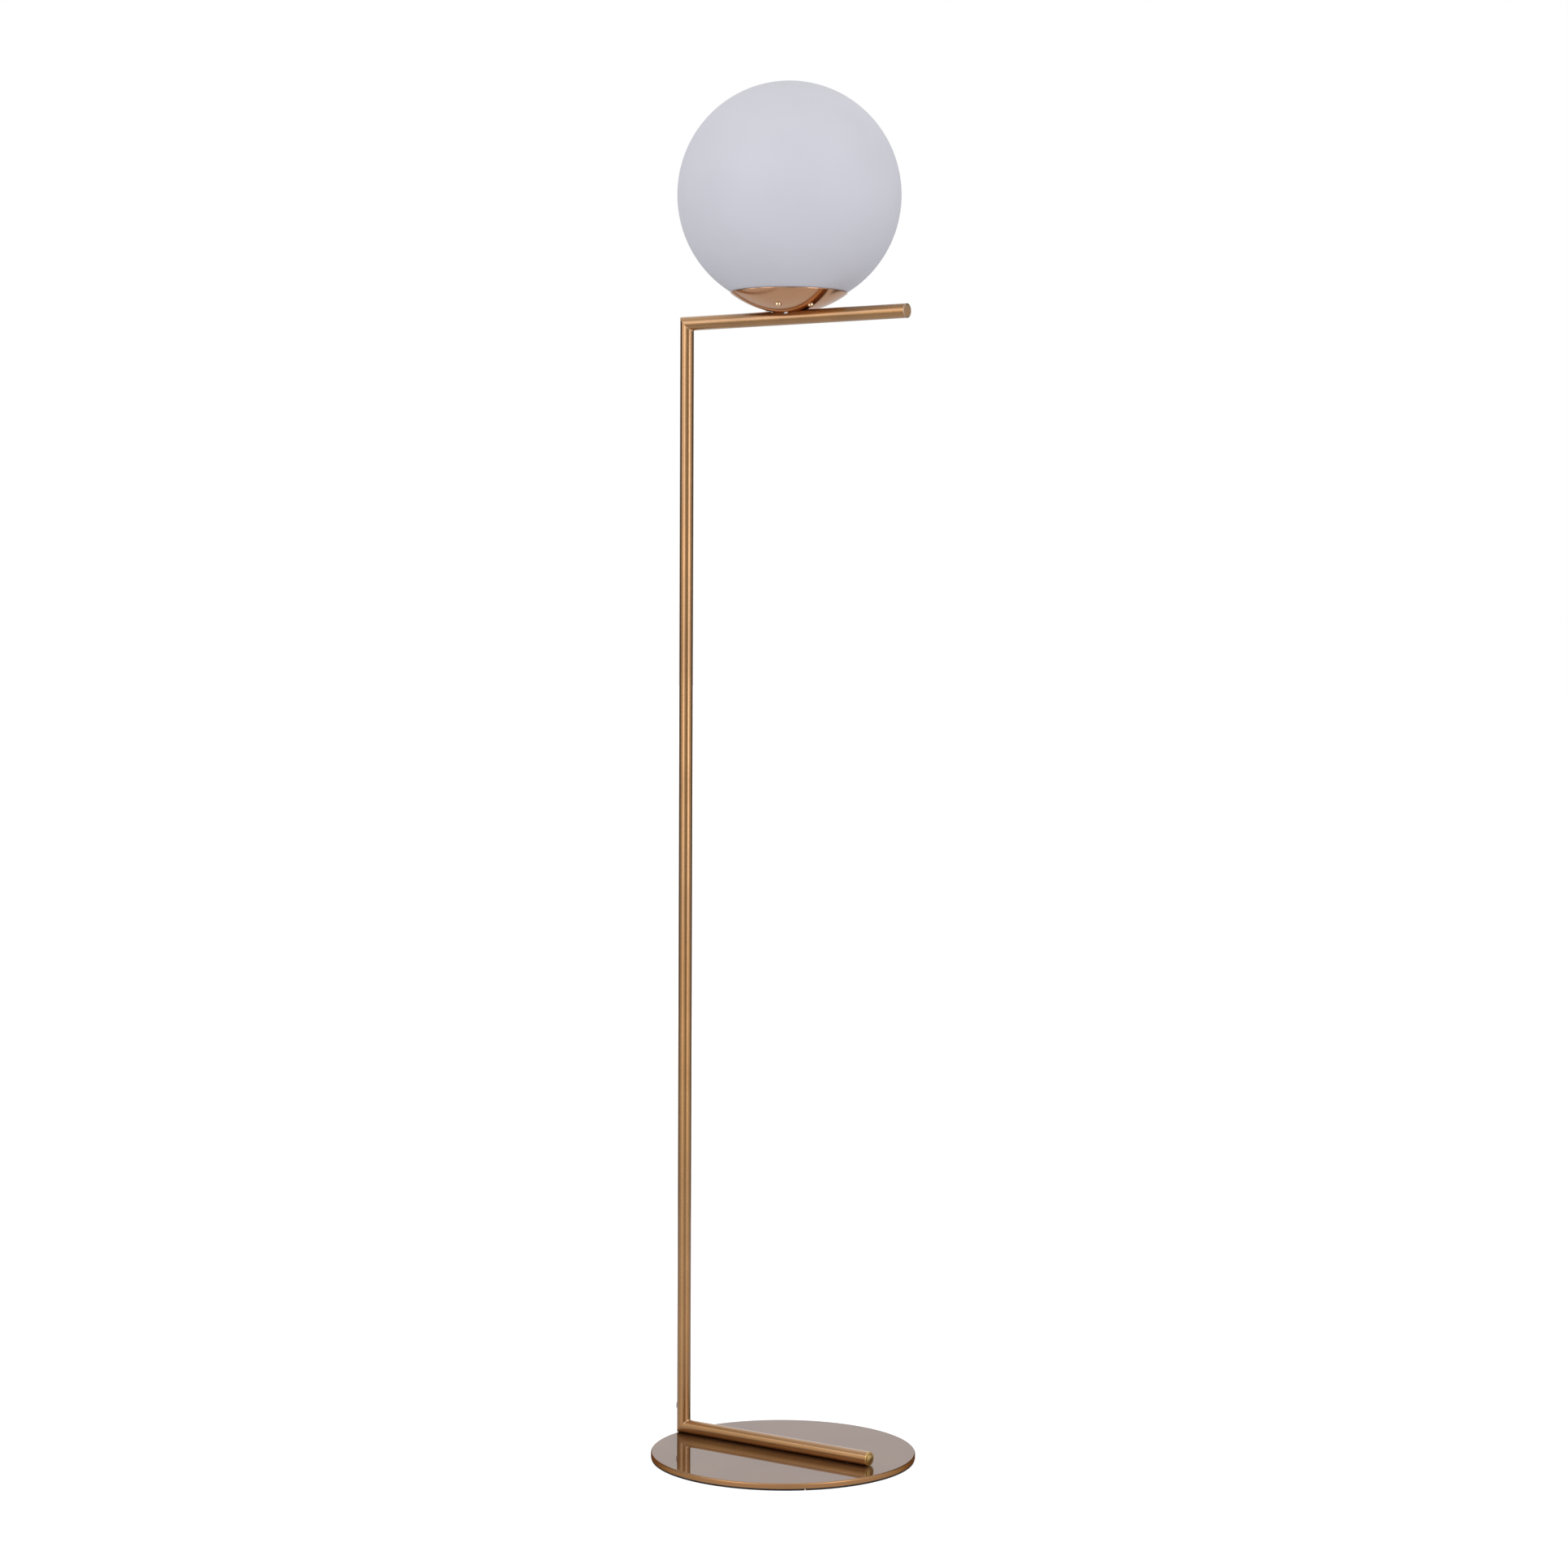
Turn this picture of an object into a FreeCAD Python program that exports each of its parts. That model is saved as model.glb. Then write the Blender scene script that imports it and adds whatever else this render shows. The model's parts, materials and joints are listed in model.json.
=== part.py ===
"""Globe floor lamp: opal glass globe on a cranked brass tube that stands on a round plate.

Row frame: millimetres, +Z up, origin on the floor under the middle of the plate. The foot tube,
the pole and the arm lie in the XZ plane, and the arm points along +X. The pole stands on the
plate's rim at -X, and the globe is centred over the plate.
"""
import FreeCAD, Part
import math
import os
import re
import Sketcher
from FreeCAD import Vector

# ---------------------------------------------------------------------------------------------
# Driving dimensions: name, value, meaning. Lengths in mm, angles in degrees.
# ---------------------------------------------------------------------------------------------
SIZES = [
    ("plate_radius", 151, "round steel plate"),
    ("plate_thickness", 6, "plate without its pad"),
    ("plate_edge_round", 1.6, "rounded upper edge of the plate"),
    ("pad_thickness", 2, "foam pad under the plate"),
    ("pad_inset", 0.6, "pad's edge inside the plate's edge"),
    ("pad_slit_width", 1.6, "slit where the ends of the pad meet"),
    ("pad_slit_depth", 7, "slit, measured in from the pad's edge"),
    ("pad_slit_angle", -44.8, "slit's direction about the plate's axis"),
    ("tube_radius", 8, "outside of foot tube, pole and arm"),
    ("tube_wall", 1.2, "wall of foot tube, pole and arm"),
    ("foot_end_inset", 31, "plate's edge to the end of the foot tube's plug"),
    ("arm_end", 159, "globe's axis to the end of the arm"),
    ("arm_height", 1292.5, "floor to the arm's axis"),
    ("lower_seam_height", 178, "seam between heel riser and lower pole"),
    ("middle_seam_height", 972, "seam between lower and upper pole"),
    ("upper_seam_drop", 49.5, "arm's axis down to the seam between upper pole and arm riser"),
    ("press_gap", 0.05, "radial clearance of inserts pressed into a tube"),
    ("slip_gap", 0.1, "radial clearance of screws and threads in their holes"),
    ("plug_insert", 10, "length of an end plug inside its tube"),
    ("foot_plug_flange", 1.6, "rim of the foot tube's end plug"),
    ("foot_plug_dome", 0.9, "rise of the domed middle of that plug"),
    ("foot_plug_ring_radius", 6.2, "outside of the ring turned into that plug"),
    ("foot_plug_ring_width", 0.6, "width of the turned ring"),
    ("foot_plug_ring_depth", 0.5, "depth of the turned ring"),
    ("plug_chamfer", 0.4, "broken edges of both end plugs"),
    ("arm_plug_recess", 0.3, "arm's end plug behind the cut end of the arm"),
    ("foot_screw_inset", 28.4, "outer foot screws, in from the end of the foot tube"),
    ("foot_screw_radius", 2.5, "M5 shank"),
    ("foot_head_radius", 4.25, "low cylinder head of those screws"),
    ("foot_head_height", 3, "low cylinder head of those screws"),
    ("foot_head_sunk", 0.4, "heads above the underside of the plate"),
    ("foot_screw_grip", 2, "tip of those screws above the foot tube's axis"),
    ("foot_block_length", 18, "threaded blocks in the foot tube"),
    ("joint_bush_length", 24, "threaded bush in the top of a pole section"),
    ("joint_stud_length", 16, "collar of the stud in the bottom of the next section"),
    ("joint_thread_radius", 5, "M10 thread of a pole joint"),
    ("joint_thread_length", 14, "stud's thread below the seam"),
    ("joint_thread_room", 2, "free thread under a stud"),
    ("joint_bore_radius", 3.4, "cable way through a pole joint"),
    ("saddle_margin", 0.8, "milled flat beyond the place where the bowl meets the arm"),
    ("saddle_depth", 4, "flat, below the top of the arm"),
    ("anchor_margin", 3, "solid block in the arm beyond each end of the flat"),
    ("nipple_radius", 5, "M10 hollow nipple"),
    ("nipple_bore", 3.8, "inner radius of the nipple"),
    ("nipple_margin", 0.2, "nipple's lower edge inside the block's round side"),
    ("nipple_in_holder", 8.5, "nipple's upper end inside the lampholder"),
    ("cable_way_radius", 3, "cross hole in nipple and block"),
    ("collar_radius", 7, "steel collar between arm and bowl"),
    ("collar_thickness", 1.5, "steel collar between arm and bowl"),
    ("bowl_rim_radius", 66.5, "outside of the bowl's rim"),
    ("bowl_depth", 22.2, "height of the bowl"),
    ("bowl_flat_radius", 9, "flat middle of the bowl"),
    ("bowl_wall", 1.2, "spun sheet of the bowl"),
    ("washer_radius", 8.6, "spring washer in the bowl"),
    ("washer_thickness", 0.8, "spring washer in the bowl"),
    ("neck_nut_flats", 14, "nut on the nipple, across flats"),
    ("neck_nut_height", 4, "nut on the nipple"),
    ("bowl_screw_circle", 37, "radius of the circle of the bowl's screws"),
    ("bowl_screw_turn", -43.4, "middle between two neighbouring bowl screws, from the arm"),
    ("bowl_screw_spread", 29.5, "each screw of a pair from that middle"),
    ("bowl_screw_radius", 2, "M4 shank"),
    ("bowl_head_radius", 3.8, "domed head of the bowl's screws"),
    ("bowl_head_height", 2.3, "domed head of the bowl's screws"),
    ("bowl_head_dome", 1.6, "domed part of that height"),
    ("bowl_nut_flats", 7, "M4 nut, across flats"),
    ("bowl_nut_height", 3.2, "M4 nut"),
    ("thread_end", 1, "shank that stands out of its nut"),
    ("spacer_radius", 4.2, "spacers between bowl and holder plate"),
    ("plate_seat_gap", 0.2, "rim of the holder plate above the bowl"),
    ("holder_plate_radius", 41.5, "round plate in the bowl"),
    ("holder_plate_thickness", 1.5, "round plate in the bowl"),
    ("clip_turn", 16.6, "first spring clip, from the arm"),
    ("clip_width", 12, "spring clips that centre the globe"),
    ("clip_sheet", 0.6, "spring clips' sheet"),
    ("clip_height", 13, "spring clips above the holder plate"),
    ("clip_foot", 13, "foot of a spring clip on the holder plate"),
    ("clip_gap", 0.35, "corner of a clip inside the glass edge"),
    ("rivet_radius", 1.5, "rivet of a spring clip"),
    ("rivet_head_radius", 2.6, "rivet of a spring clip"),
    ("rivet_head_height", 1, "rivet of a spring clip"),
    ("globe_radius", 125, "outside of the glass globe"),
    ("globe_wall", 2.5, "glass"),
    ("globe_over_arm", 135, "arm's axis to the middle of the globe"),
    ("globe_mouth_radius", 43.28, "inner edge of the globe's mouth"),
    ("glass_gap", 0.1, "cut edge above the gasket"),
    ("gasket_margin", 0.6, "gasket beyond the cut edge, inside and outside"),
    ("holder_radius", 17.5, "lampholder's cap"),
    ("holder_foot_radius", 13, "lampholder's cap where it meets the plate"),
    ("holder_wall", 2, "lampholder's mouldings"),
    ("holder_floor", 3, "bottom of the lampholder's cap"),
    ("holder_boss_radius", 8, "threaded boss in the cap"),
    ("holder_boss_height", 9, "threaded boss in the cap"),
    ("holder_flare_height", 7, "cap reaches its full width"),
    ("holder_cap_height", 20, "lampholder's cap"),
    ("holder_shoulder", 14, "shoulder in the cap that carries the block"),
    ("holder_shoulder_width", 1.5, "shoulder in the cap that carries the block"),
    ("block_height", 12, "ceramic block"),
    ("block_gap", 0.1, "ceramic block inside the cap"),
    ("shell_inner_radius", 13.5, "threaded shell of the lampholder"),
    ("shell_wall", 0.5, "threaded shell of the lampholder"),
    ("shell_height", 24, "threaded shell of the lampholder"),
    ("sleeve_gap", 0.3, "sleeve around block and shell"),
    ("sleeve_overlap", 6, "sleeve over the cap"),
    ("sleeve_top_radius", 18.4, "upper edge of the sleeve"),
    ("sleeve_rise", 2, "sleeve above the threaded shell"),
    ("contact_radius", 4, "centre contact of the lampholder"),
    ("contact_height", 1.5, "centre contact of the lampholder"),
    ("contact_stem_radius", 1.4, "centre contact's rivet"),
    ("contact_stem_length", 3, "centre contact's rivet"),
    ("core_radius", 0.8, "insulated cores of the cable"),
    ("core_offset", 1.2, "cores beside the axis"),
    ("core_in_block", 3, "cores inside the ceramic block"),
    ("bulb_seat_gap", 0.3, "bulb's tip above the centre contact"),
    ("bulb_tip_radius", 4.6, "bulb's contact"),
    ("bulb_tip_height", 1.2, "bulb's contact"),
    ("bulb_insulator_radius", 10.5, "black insulator of the bulb"),
    ("bulb_insulator_height", 2.8, "black insulator of the bulb"),
    ("bulb_cap_radius", 13.1, "E27 cap over its thread"),
    ("bulb_cap_wall", 0.5, "E27 cap"),
    ("bulb_cap_height", 23, "E27 cap"),
    ("bulb_neck_gap", 0.1, "glass neck inside the cap"),
    ("bulb_neck_insert", 8, "glass neck inside the cap"),
    ("bulb_neck_rise", 3, "straight neck above the cap"),
    ("bulb_radius", 30, "widest part of the bulb"),
    ("bulb_middle", 46, "cap's upper edge to the widest part"),
    ("bulb_shoulder_angle", 25, "where the round part meets the taper"),
    ("bulb_wall", 1, "bulb's glass"),
    ("cable_radius", 2.5, "round two-core cable"),
    ("cable_end_above_nipple", 1.5, "sheath above the nipple"),
    ("neck_bend_radius", 5, "cable's bend in the nipple"),
    ("corner_bend_radius", 15, "cable's bend from arm to pole"),
    ("inlet_bend_radius", 5.2, "cable's bend at the inlet"),
    ("inlet_height", 40, "floor to the cable inlet in the heel riser"),
    ("grommet_radius", 3.5, "rubber grommet in the tube's wall"),
    ("grommet_flange_radius", 4.6, "flanges of the grommet"),
    ("grommet_flange", 0.9, "flanges of the grommet"),
]

# Values that follow from the driving dimensions.
DERIVED = {
    "plate_top": "pad_thickness + plate_thickness",
    "tube_bore": "tube_radius - tube_wall",
    "insert_radius": "tube_bore - press_gap",
    "pole_offset": "plate_radius - tube_radius",
    "foot_height": "plate_top + tube_radius",
    "foot_tube_end": "plate_radius - foot_end_inset - foot_plug_flange",
    "foot_screw_spacing": "foot_tube_end - foot_screw_inset",
    "upper_seam_height": "arm_height - upper_seam_drop",
    "mitre_reach": "3 * tube_radius",
    "counterbore_top": "pad_thickness + foot_head_sunk + foot_head_height",
    "saddle_floor": "tube_radius - saddle_depth",
    "bowl_bottom": "arm_height + saddle_floor + collar_thickness",
    "arc_height": "(bowl_rim_radius ^ 2 + bowl_depth ^ 2 - bowl_flat_radius ^ 2) / (2 * bowl_depth)",
    "bowl_curve": "sqrt(arc_height ^ 2 + bowl_flat_radius ^ 2)",
    "bowl_inner_curve": "bowl_curve - bowl_wall",
    "bowl_dip": "saddle_depth - collar_thickness",
    "saddle_half": "sqrt(bowl_curve ^ 2 - (arc_height - bowl_dip) ^ 2) + saddle_margin",
    "anchor_half": "saddle_half + anchor_margin",
    "nipple_depth": "sqrt(insert_radius ^ 2 - nipple_radius ^ 2) - nipple_margin",
    "plate_lift": "arc_height - sqrt(bowl_inner_curve ^ 2 - holder_plate_radius ^ 2) + plate_seat_gap",
    "holder_plate_top": "bowl_bottom + plate_lift + holder_plate_thickness",
    "screw_seat": "arc_height - sqrt(bowl_curve ^ 2 - bowl_screw_circle ^ 2)",
    "globe_middle": "arm_height + globe_over_arm",
    "globe_cut": "sqrt((globe_radius - globe_wall) ^ 2 - globe_mouth_radius ^ 2)",
    "cut_outer": "sqrt(globe_radius ^ 2 - globe_cut ^ 2)",
    "gasket_inner": "globe_mouth_radius + gasket_margin",
    "gasket_outer": "cut_outer + gasket_margin",
    "gasket_top": "globe_middle - globe_cut - glass_gap - bowl_bottom",
    "clip_face": "sqrt((globe_mouth_radius - clip_gap) ^ 2 - (clip_width / 2) ^ 2)",
    "block_top": "holder_shoulder + block_height",
    "shell_radius": "shell_inner_radius + shell_wall",
    "sleeve_top": "block_top + shell_height + sleeve_rise",
    "bulb_seat": "block_top + contact_height + bulb_seat_gap",
    "bulb_cap_bottom": "bulb_seat + bulb_tip_height + bulb_insulator_height",
    "bulb_cap_top": "bulb_cap_bottom + bulb_cap_height",
    "bulb_neck": "bulb_cap_radius - bulb_cap_wall - bulb_neck_gap",
    "sheath_end": "nipple_in_holder + cable_end_above_nipple",
}

JOINT_SEAMS = {"lower": "lower_seam_height", "middle": "middle_seam_height", "upper": "upper_seam_height"}
FOOT_SCREW_STEPS = (-1, 0, 1)
CLIP_COUNT = 3

doc = FreeCAD.newDocument("GlobeFloorLamp")
sizes = doc.addObject("Spreadsheet::Sheet", "Sizes")
for row, (alias, value, meaning) in enumerate(SIZES, start=1):
    sizes.set("A%d" % row, alias)
    sizes.set("B%d" % row, str(value))
    sizes.set("C%d" % row, meaning)
    sizes.setAlias("B%d" % row, alias)
doc.recompute()

WORD = re.compile(r"[a-z][a-z_]*[a-z]")
ALIASES = {alias for alias, _, _ in SIZES}
parts = {}


# ---------------------------------------------------------------------------------------------
# Expressions
# ---------------------------------------------------------------------------------------------
def bound(text):
    """The expression with every name written out as cells of the sheet."""
    def written_out(match):
        word = match.group(0)
        if word in DERIVED:
            return "(" + bound(DERIVED[word]) + ")"
        return "Sizes." + word if word in ALIASES else word
    return WORD.sub(written_out, str(text))


def number(text):
    """The expression's value now."""
    return float(sizes.evalExpression(bound(text)))


def tie(thing, path, text):
    """Bind a property of an object to an expression."""
    thing.setExpression(path, bound(text))


def place(thing, x="0", y="0", z="0", turn=None, about=Vector(0, 0, 1)):
    """Put an object at a point given by expressions, turned about an axis if asked."""
    thing.Placement = FreeCAD.Placement(Vector(0, 0, 0), FreeCAD.Rotation(about, number(turn or "0")))
    for axis, text in (("x", x), ("y", y), ("z", z)):
        tie(thing, "Placement.Base." + axis, text)
    if turn is not None:
        tie(thing, "Placement.Rotation.Angle", turn)
    return thing


# ---------------------------------------------------------------------------------------------
# Sketches and features
# ---------------------------------------------------------------------------------------------
class Arc:
    """An edge of an outline that is an arc: its radius, and 1 or -1 for the side it bulges to."""

    def __init__(self, radius, side):
        self.radius = radius
        self.side = side


def new_body(name):
    body = doc.addObject("PartDesign::Body", name)
    body.Label = name
    parts[name] = body
    return body


def new_sketch(body, role):
    """A sketch on one of the body's own origin planes."""
    sketch = body.newObject("Sketcher::SketchObject", body.Name + "_sketch")
    plane = [item for item in body.Origin.OriginFeatures if item.Role == role][0]
    sketch.AttachmentSupport = [(plane, "")]
    sketch.MapMode = "FlatFace"
    return sketch


def fix(sketch, kind, where, text):
    """A dimension of the sketch, bound to an expression."""
    index = sketch.addConstraint(Sketcher.Constraint(kind, *where, number(text)))
    sketch.setExpression("Constraints[%d]" % index, bound(text))


def arc_edge(start, end, edge):
    """The circle's arc between two points, and whether it runs anticlockwise from the first."""
    radius = number(edge.radius)
    chord = end - start
    normal = Vector(-chord.y, chord.x, 0).normalize()
    rise = math.sqrt(max(radius ** 2 - (chord.Length / 2) ** 2, 0))
    centre = (start + end) * 0.5 - normal * (edge.side * rise)
    first, last = (math.atan2(p.y - centre.y, p.x - centre.x) for p in (start, end))
    forwards = edge.side < 0
    low, high = (first, last) if forwards else (last, first)
    if high < low:
        high += 2 * math.pi
    circle = Part.Circle(centre, Vector(0, 0, 1), radius)
    return Part.ArcOfCircle(circle, low, high), forwards


def outline(sketch, corners):
    """A closed outline: corners as pairs of expressions, with an Arc before a corner it ends at."""
    points, edges = [], []
    for item in corners:
        if isinstance(item, Arc):
            edges[-1] = item
        else:
            points.append(item)
            edges.append(None)
    base = sketch.GeometryCount
    places = [Vector(number(x), number(y), 0) for x, y in points]
    ends = []
    for index, edge in enumerate(edges):
        start, end = places[index], places[(index + 1) % len(places)]
        if edge is None:
            sketch.addGeometry(Part.LineSegment(start, end), False)
            ends.append((1, 2))
        else:
            shape, forwards = arc_edge(start, end, edge)
            sketch.addGeometry(shape, False)
            ends.append((1, 2) if forwards else (2, 1))
    for index in range(len(points)):
        following = (index + 1) % len(points)
        sketch.addConstraint(Sketcher.Constraint(
            "Coincident", base + index, ends[index][1], base + following, ends[following][0]))
    for index, (x, y) in enumerate(points):
        fix(sketch, "DistanceX", (base + index, ends[index][0]), x)
        fix(sketch, "DistanceY", (base + index, ends[index][0]), y)
        if edges[index] is not None:
            fix(sketch, "Radius", (base + index,), edges[index].radius)


def circle(sketch, x, y, radius):
    """A round hole or disc at a point given by expressions."""
    index = sketch.addGeometry(
        Part.Circle(Vector(number(x), number(y), 0), Vector(0, 0, 1), number(radius)), False)
    fix(sketch, "DistanceX", (index, 3), x)
    fix(sketch, "DistanceY", (index, 3), y)
    fix(sketch, "Radius", (index,), radius)


def revolve(body, corners, axis="V_Axis"):
    """Turn an outline in the body's XZ plane about its vertical (V) or level (H) axis."""
    sketch = new_sketch(body, "XZ_Plane")
    outline(sketch, corners)
    feature = body.newObject("PartDesign::Revolution", body.Name + "_turned")
    feature.Profile = sketch
    feature.ReferenceAxis = (sketch, [axis])
    feature.Angle = 360
    doc.recompute()
    return feature


def pocket(body, draw, role, length=None, backwards=False):
    """Cut what draw(sketch) outlines: through all both ways, or one way by a length."""
    before = body.Shape.Volume
    sketch = new_sketch(body, role)
    draw(sketch)
    feature = body.newObject("PartDesign::Pocket", body.Name + "_cut")
    feature.Profile = sketch
    if length is None:
        feature.Type = "ThroughAll"
        feature.Midplane = True
    else:
        feature.Type = "Length"
        tie(feature, "Length", length)
        feature.Reversed = backwards
    doc.recompute()
    if body.Shape.isNull() or body.Shape.Volume > before - 1e-3:
        raise RuntimeError("cut in %s removes nothing" % body.Name)
    return feature


def ring(body, inner, outer, bottom, top):
    """A plain ring about the body's vertical axis."""
    return revolve(body, [(inner, bottom), (outer, bottom), (outer, top), (inner, top)])


# ---------------------------------------------------------------------------------------------
# Primitives and booleans
# ---------------------------------------------------------------------------------------------
def cylinder(name, radius, height):
    thing = doc.addObject("Part::Cylinder", name)
    tie(thing, "Radius", radius)
    tie(thing, "Height", height)
    return thing


def box(name, length, width, height):
    thing = doc.addObject("Part::Box", name)
    tie(thing, "Length", length)
    tie(thing, "Width", width)
    tie(thing, "Height", height)
    return thing


def cut(name, base, tool):
    thing = doc.addObject("Part::Cut", name)
    thing.Base = base
    thing.Tool = tool
    return thing


def common(name, base, tool):
    thing = doc.addObject("Part::Common", name)
    thing.Base = base
    thing.Tool = tool
    return thing


def fuse(name, pieces):
    thing = doc.addObject("Part::MultiFuse", name)
    thing.Shapes = pieces
    return thing


def group(name, pieces):
    """Identical loose pieces that share one node."""
    thing = doc.addObject("Part::Compound", name)
    thing.Links = pieces
    thing.Label = name
    parts[name] = thing
    return thing


def single(name, thing):
    """One piece made from primitives, as a node of its own."""
    thing.Label = name
    parts[name] = thing
    return thing


def hex_nut(name, flats, height, hole, x="0", y="0", z="0"):
    """A hexagonal nut, standing on a point given by expressions."""
    prism = doc.addObject("Part::Prism", name + "_hexagon")
    prism.Polygon = 6
    tie(prism, "Circumradius", "%s / sqrt(3)" % flats)
    tie(prism, "Height", height)
    nut = cut(name, prism, cylinder(name + "_hole", hole, height))
    return place(nut, x, y, z)


def around(circle_radius, angle):
    """Expressions for a point on a circle about the Z axis."""
    return ("(%s) * cos(%s)" % (circle_radius, angle), "(%s) * sin(%s)" % (circle_radius, angle))


# ---------------------------------------------------------------------------------------------
# Base: pad, plate, foot tube and what fastens it
# ---------------------------------------------------------------------------------------------
def base_pad():
    body = new_body("base_pad")
    edge = "plate_radius - pad_inset"
    revolve(body, [("0", "0"), (edge, "0"), (edge, "pad_thickness"), ("0", "pad_thickness")])
    inner, outer, half = edge + " - pad_slit_depth", "plate_radius", "pad_slit_width / 2"
    pocket(body, lambda sketch: outline(sketch, [
        (inner, "-" + half), (outer, "-" + half), (outer, half), (inner, half)]), "XY_Plane")
    place(body, turn="pad_slit_angle")


def base_plate():
    body = new_body("base_plate")
    revolve(body, [
        ("0", "pad_thickness"), ("plate_radius", "pad_thickness"),
        ("plate_radius", "plate_top - plate_edge_round"), Arc("plate_edge_round", -1),
        ("plate_radius - plate_edge_round", "plate_top"), ("0", "plate_top")])

    def screw_holes(radius):
        def draw(sketch):
            for step in FOOT_SCREW_STEPS:
                circle(sketch, "%d * foot_screw_spacing" % step, "0", radius)
        return draw
    pocket(body, screw_holes("foot_screw_radius + slip_gap"), "XY_Plane")
    pocket(body, screw_holes("foot_head_radius + 2 * slip_gap"), "XY_Plane", "counterbore_top", True)


def ring_along_x(body, start, end):
    """The tube's ring section turned about the body's X axis."""
    revolve(body, [(start, "tube_bore"), (end, "tube_bore"), (end, "tube_radius"),
                   (start, "tube_radius")], "H_Axis")


def foot_tube():
    body = new_body("foot_tube")
    ring_along_x(body, "-pole_offset - 2 * tube_radius", "foot_tube_end")
    pocket(body, lambda sketch: outline(sketch, [
        ("-pole_offset - mitre_reach", "-mitre_reach"), ("-pole_offset + mitre_reach", "mitre_reach"),
        ("-pole_offset - mitre_reach", "mitre_reach")]), "XZ_Plane")

    def screw_holes(sketch):
        for step in FOOT_SCREW_STEPS:
            circle(sketch, "%d * foot_screw_spacing" % step, "0", "foot_screw_radius + slip_gap")
    pocket(body, screw_holes, "XY_Plane", "2 * tube_radius")
    place(body, z="foot_height")


def foot_end_plug():
    body = new_body("foot_end_plug")
    face = "foot_tube_end + foot_plug_flange"
    groove_floor = face + " - foot_plug_ring_depth"
    groove_inner = "foot_plug_ring_radius - foot_plug_ring_width"
    dome = "((%s) ^ 2 + foot_plug_dome ^ 2) / (2 * foot_plug_dome)" % groove_inner
    revolve(body, [
        ("foot_tube_end - plug_insert", "0"), ("foot_tube_end - plug_insert", "insert_radius"),
        ("foot_tube_end", "insert_radius"), ("foot_tube_end", "tube_radius"),
        (face + " - plug_chamfer", "tube_radius"), (face, "tube_radius - plug_chamfer"),
        (face, "foot_plug_ring_radius"), (groove_floor, "foot_plug_ring_radius"),
        (groove_floor, groove_inner), (face, groove_inner), Arc(dome, 1),
        (face + " + foot_plug_dome", "0")], "H_Axis")
    place(body, z="foot_height")


def foot_blocks():
    blocks = []
    for index, step in enumerate(FOOT_SCREW_STEPS, start=1):
        name = "foot_block_%d" % index
        rod = cylinder(name + "_rod", "insert_radius", "foot_block_length")
        place(rod, "%d * foot_screw_spacing - foot_block_length / 2" % step, "0", "foot_height",
              "90", Vector(0, 1, 0))
        hole = cylinder(name + "_hole", "foot_screw_radius + press_gap", "2 * tube_radius")
        place(hole, "%d * foot_screw_spacing" % step, "0", "foot_height - tube_radius")
        blocks.append(cut(name, rod, hole))
    group("foot_blocks", blocks)


def foot_screws():
    screws = []
    head_bottom = "pad_thickness + foot_head_sunk"
    for index, step in enumerate(FOOT_SCREW_STEPS, start=1):
        body = doc.addObject("PartDesign::Body", "foot_screw_%d" % index)
        revolve(body, [
            ("0", head_bottom), ("foot_head_radius", head_bottom),
            ("foot_head_radius", "counterbore_top"), ("foot_screw_radius", "counterbore_top"),
            ("foot_screw_radius", "foot_height + foot_screw_grip"),
            ("0", "foot_height + foot_screw_grip")])
        screws.append(place(body, x="%d * foot_screw_spacing" % step))
    group("foot_screws", screws)


# ---------------------------------------------------------------------------------------------
# Pole: sections, joints and cable inlet
# ---------------------------------------------------------------------------------------------
def pole_section(name, bottom, top):
    body = new_body(name)
    ring(body, "tube_bore", "tube_radius", bottom, top)
    return place(body, x="-pole_offset")


def heel_riser():
    body = pole_section("heel_riser", "foot_height - 2 * tube_radius", "lower_seam_height")
    pocket(body, lambda sketch: outline(sketch, [
        ("-mitre_reach", "foot_height - mitre_reach"), ("mitre_reach", "foot_height - mitre_reach"),
        ("mitre_reach", "foot_height + mitre_reach")]), "XZ_Plane")
    pocket(body, lambda sketch: circle(sketch, "0", "inlet_height", "grommet_radius"), "YZ_Plane",
           "2 * tube_radius")


def arm_riser():
    body = pole_section("arm_riser", "upper_seam_height", "arm_height + 2 * tube_radius")
    pocket(body, lambda sketch: outline(sketch, [
        ("mitre_reach", "arm_height - mitre_reach"), ("mitre_reach", "arm_height + mitre_reach"),
        ("-mitre_reach", "arm_height + mitre_reach")]), "XZ_Plane")


def pole_joint(level, seam):
    """A threaded bush pressed into the lower section and a stud pressed into the upper one."""
    bush = new_body(level + "_joint_bush")
    thread, thread_end = "joint_thread_radius + slip_gap", "-joint_thread_length - joint_thread_room"
    revolve(bush, [
        ("joint_bore_radius", "-joint_bush_length"), ("insert_radius", "-joint_bush_length"),
        ("insert_radius", "0"), (thread, "0"), (thread, thread_end), ("joint_bore_radius", thread_end)])
    place(bush, x="-pole_offset", z=seam)
    stud = new_body(level + "_joint_stud")
    revolve(stud, [
        ("joint_bore_radius", "-joint_thread_length"), ("joint_thread_radius", "-joint_thread_length"),
        ("joint_thread_radius", "0"), ("insert_radius", "0"), ("insert_radius", "joint_stud_length"),
        ("joint_bore_radius", "joint_stud_length")])
    place(stud, x="-pole_offset", z=seam)


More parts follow.
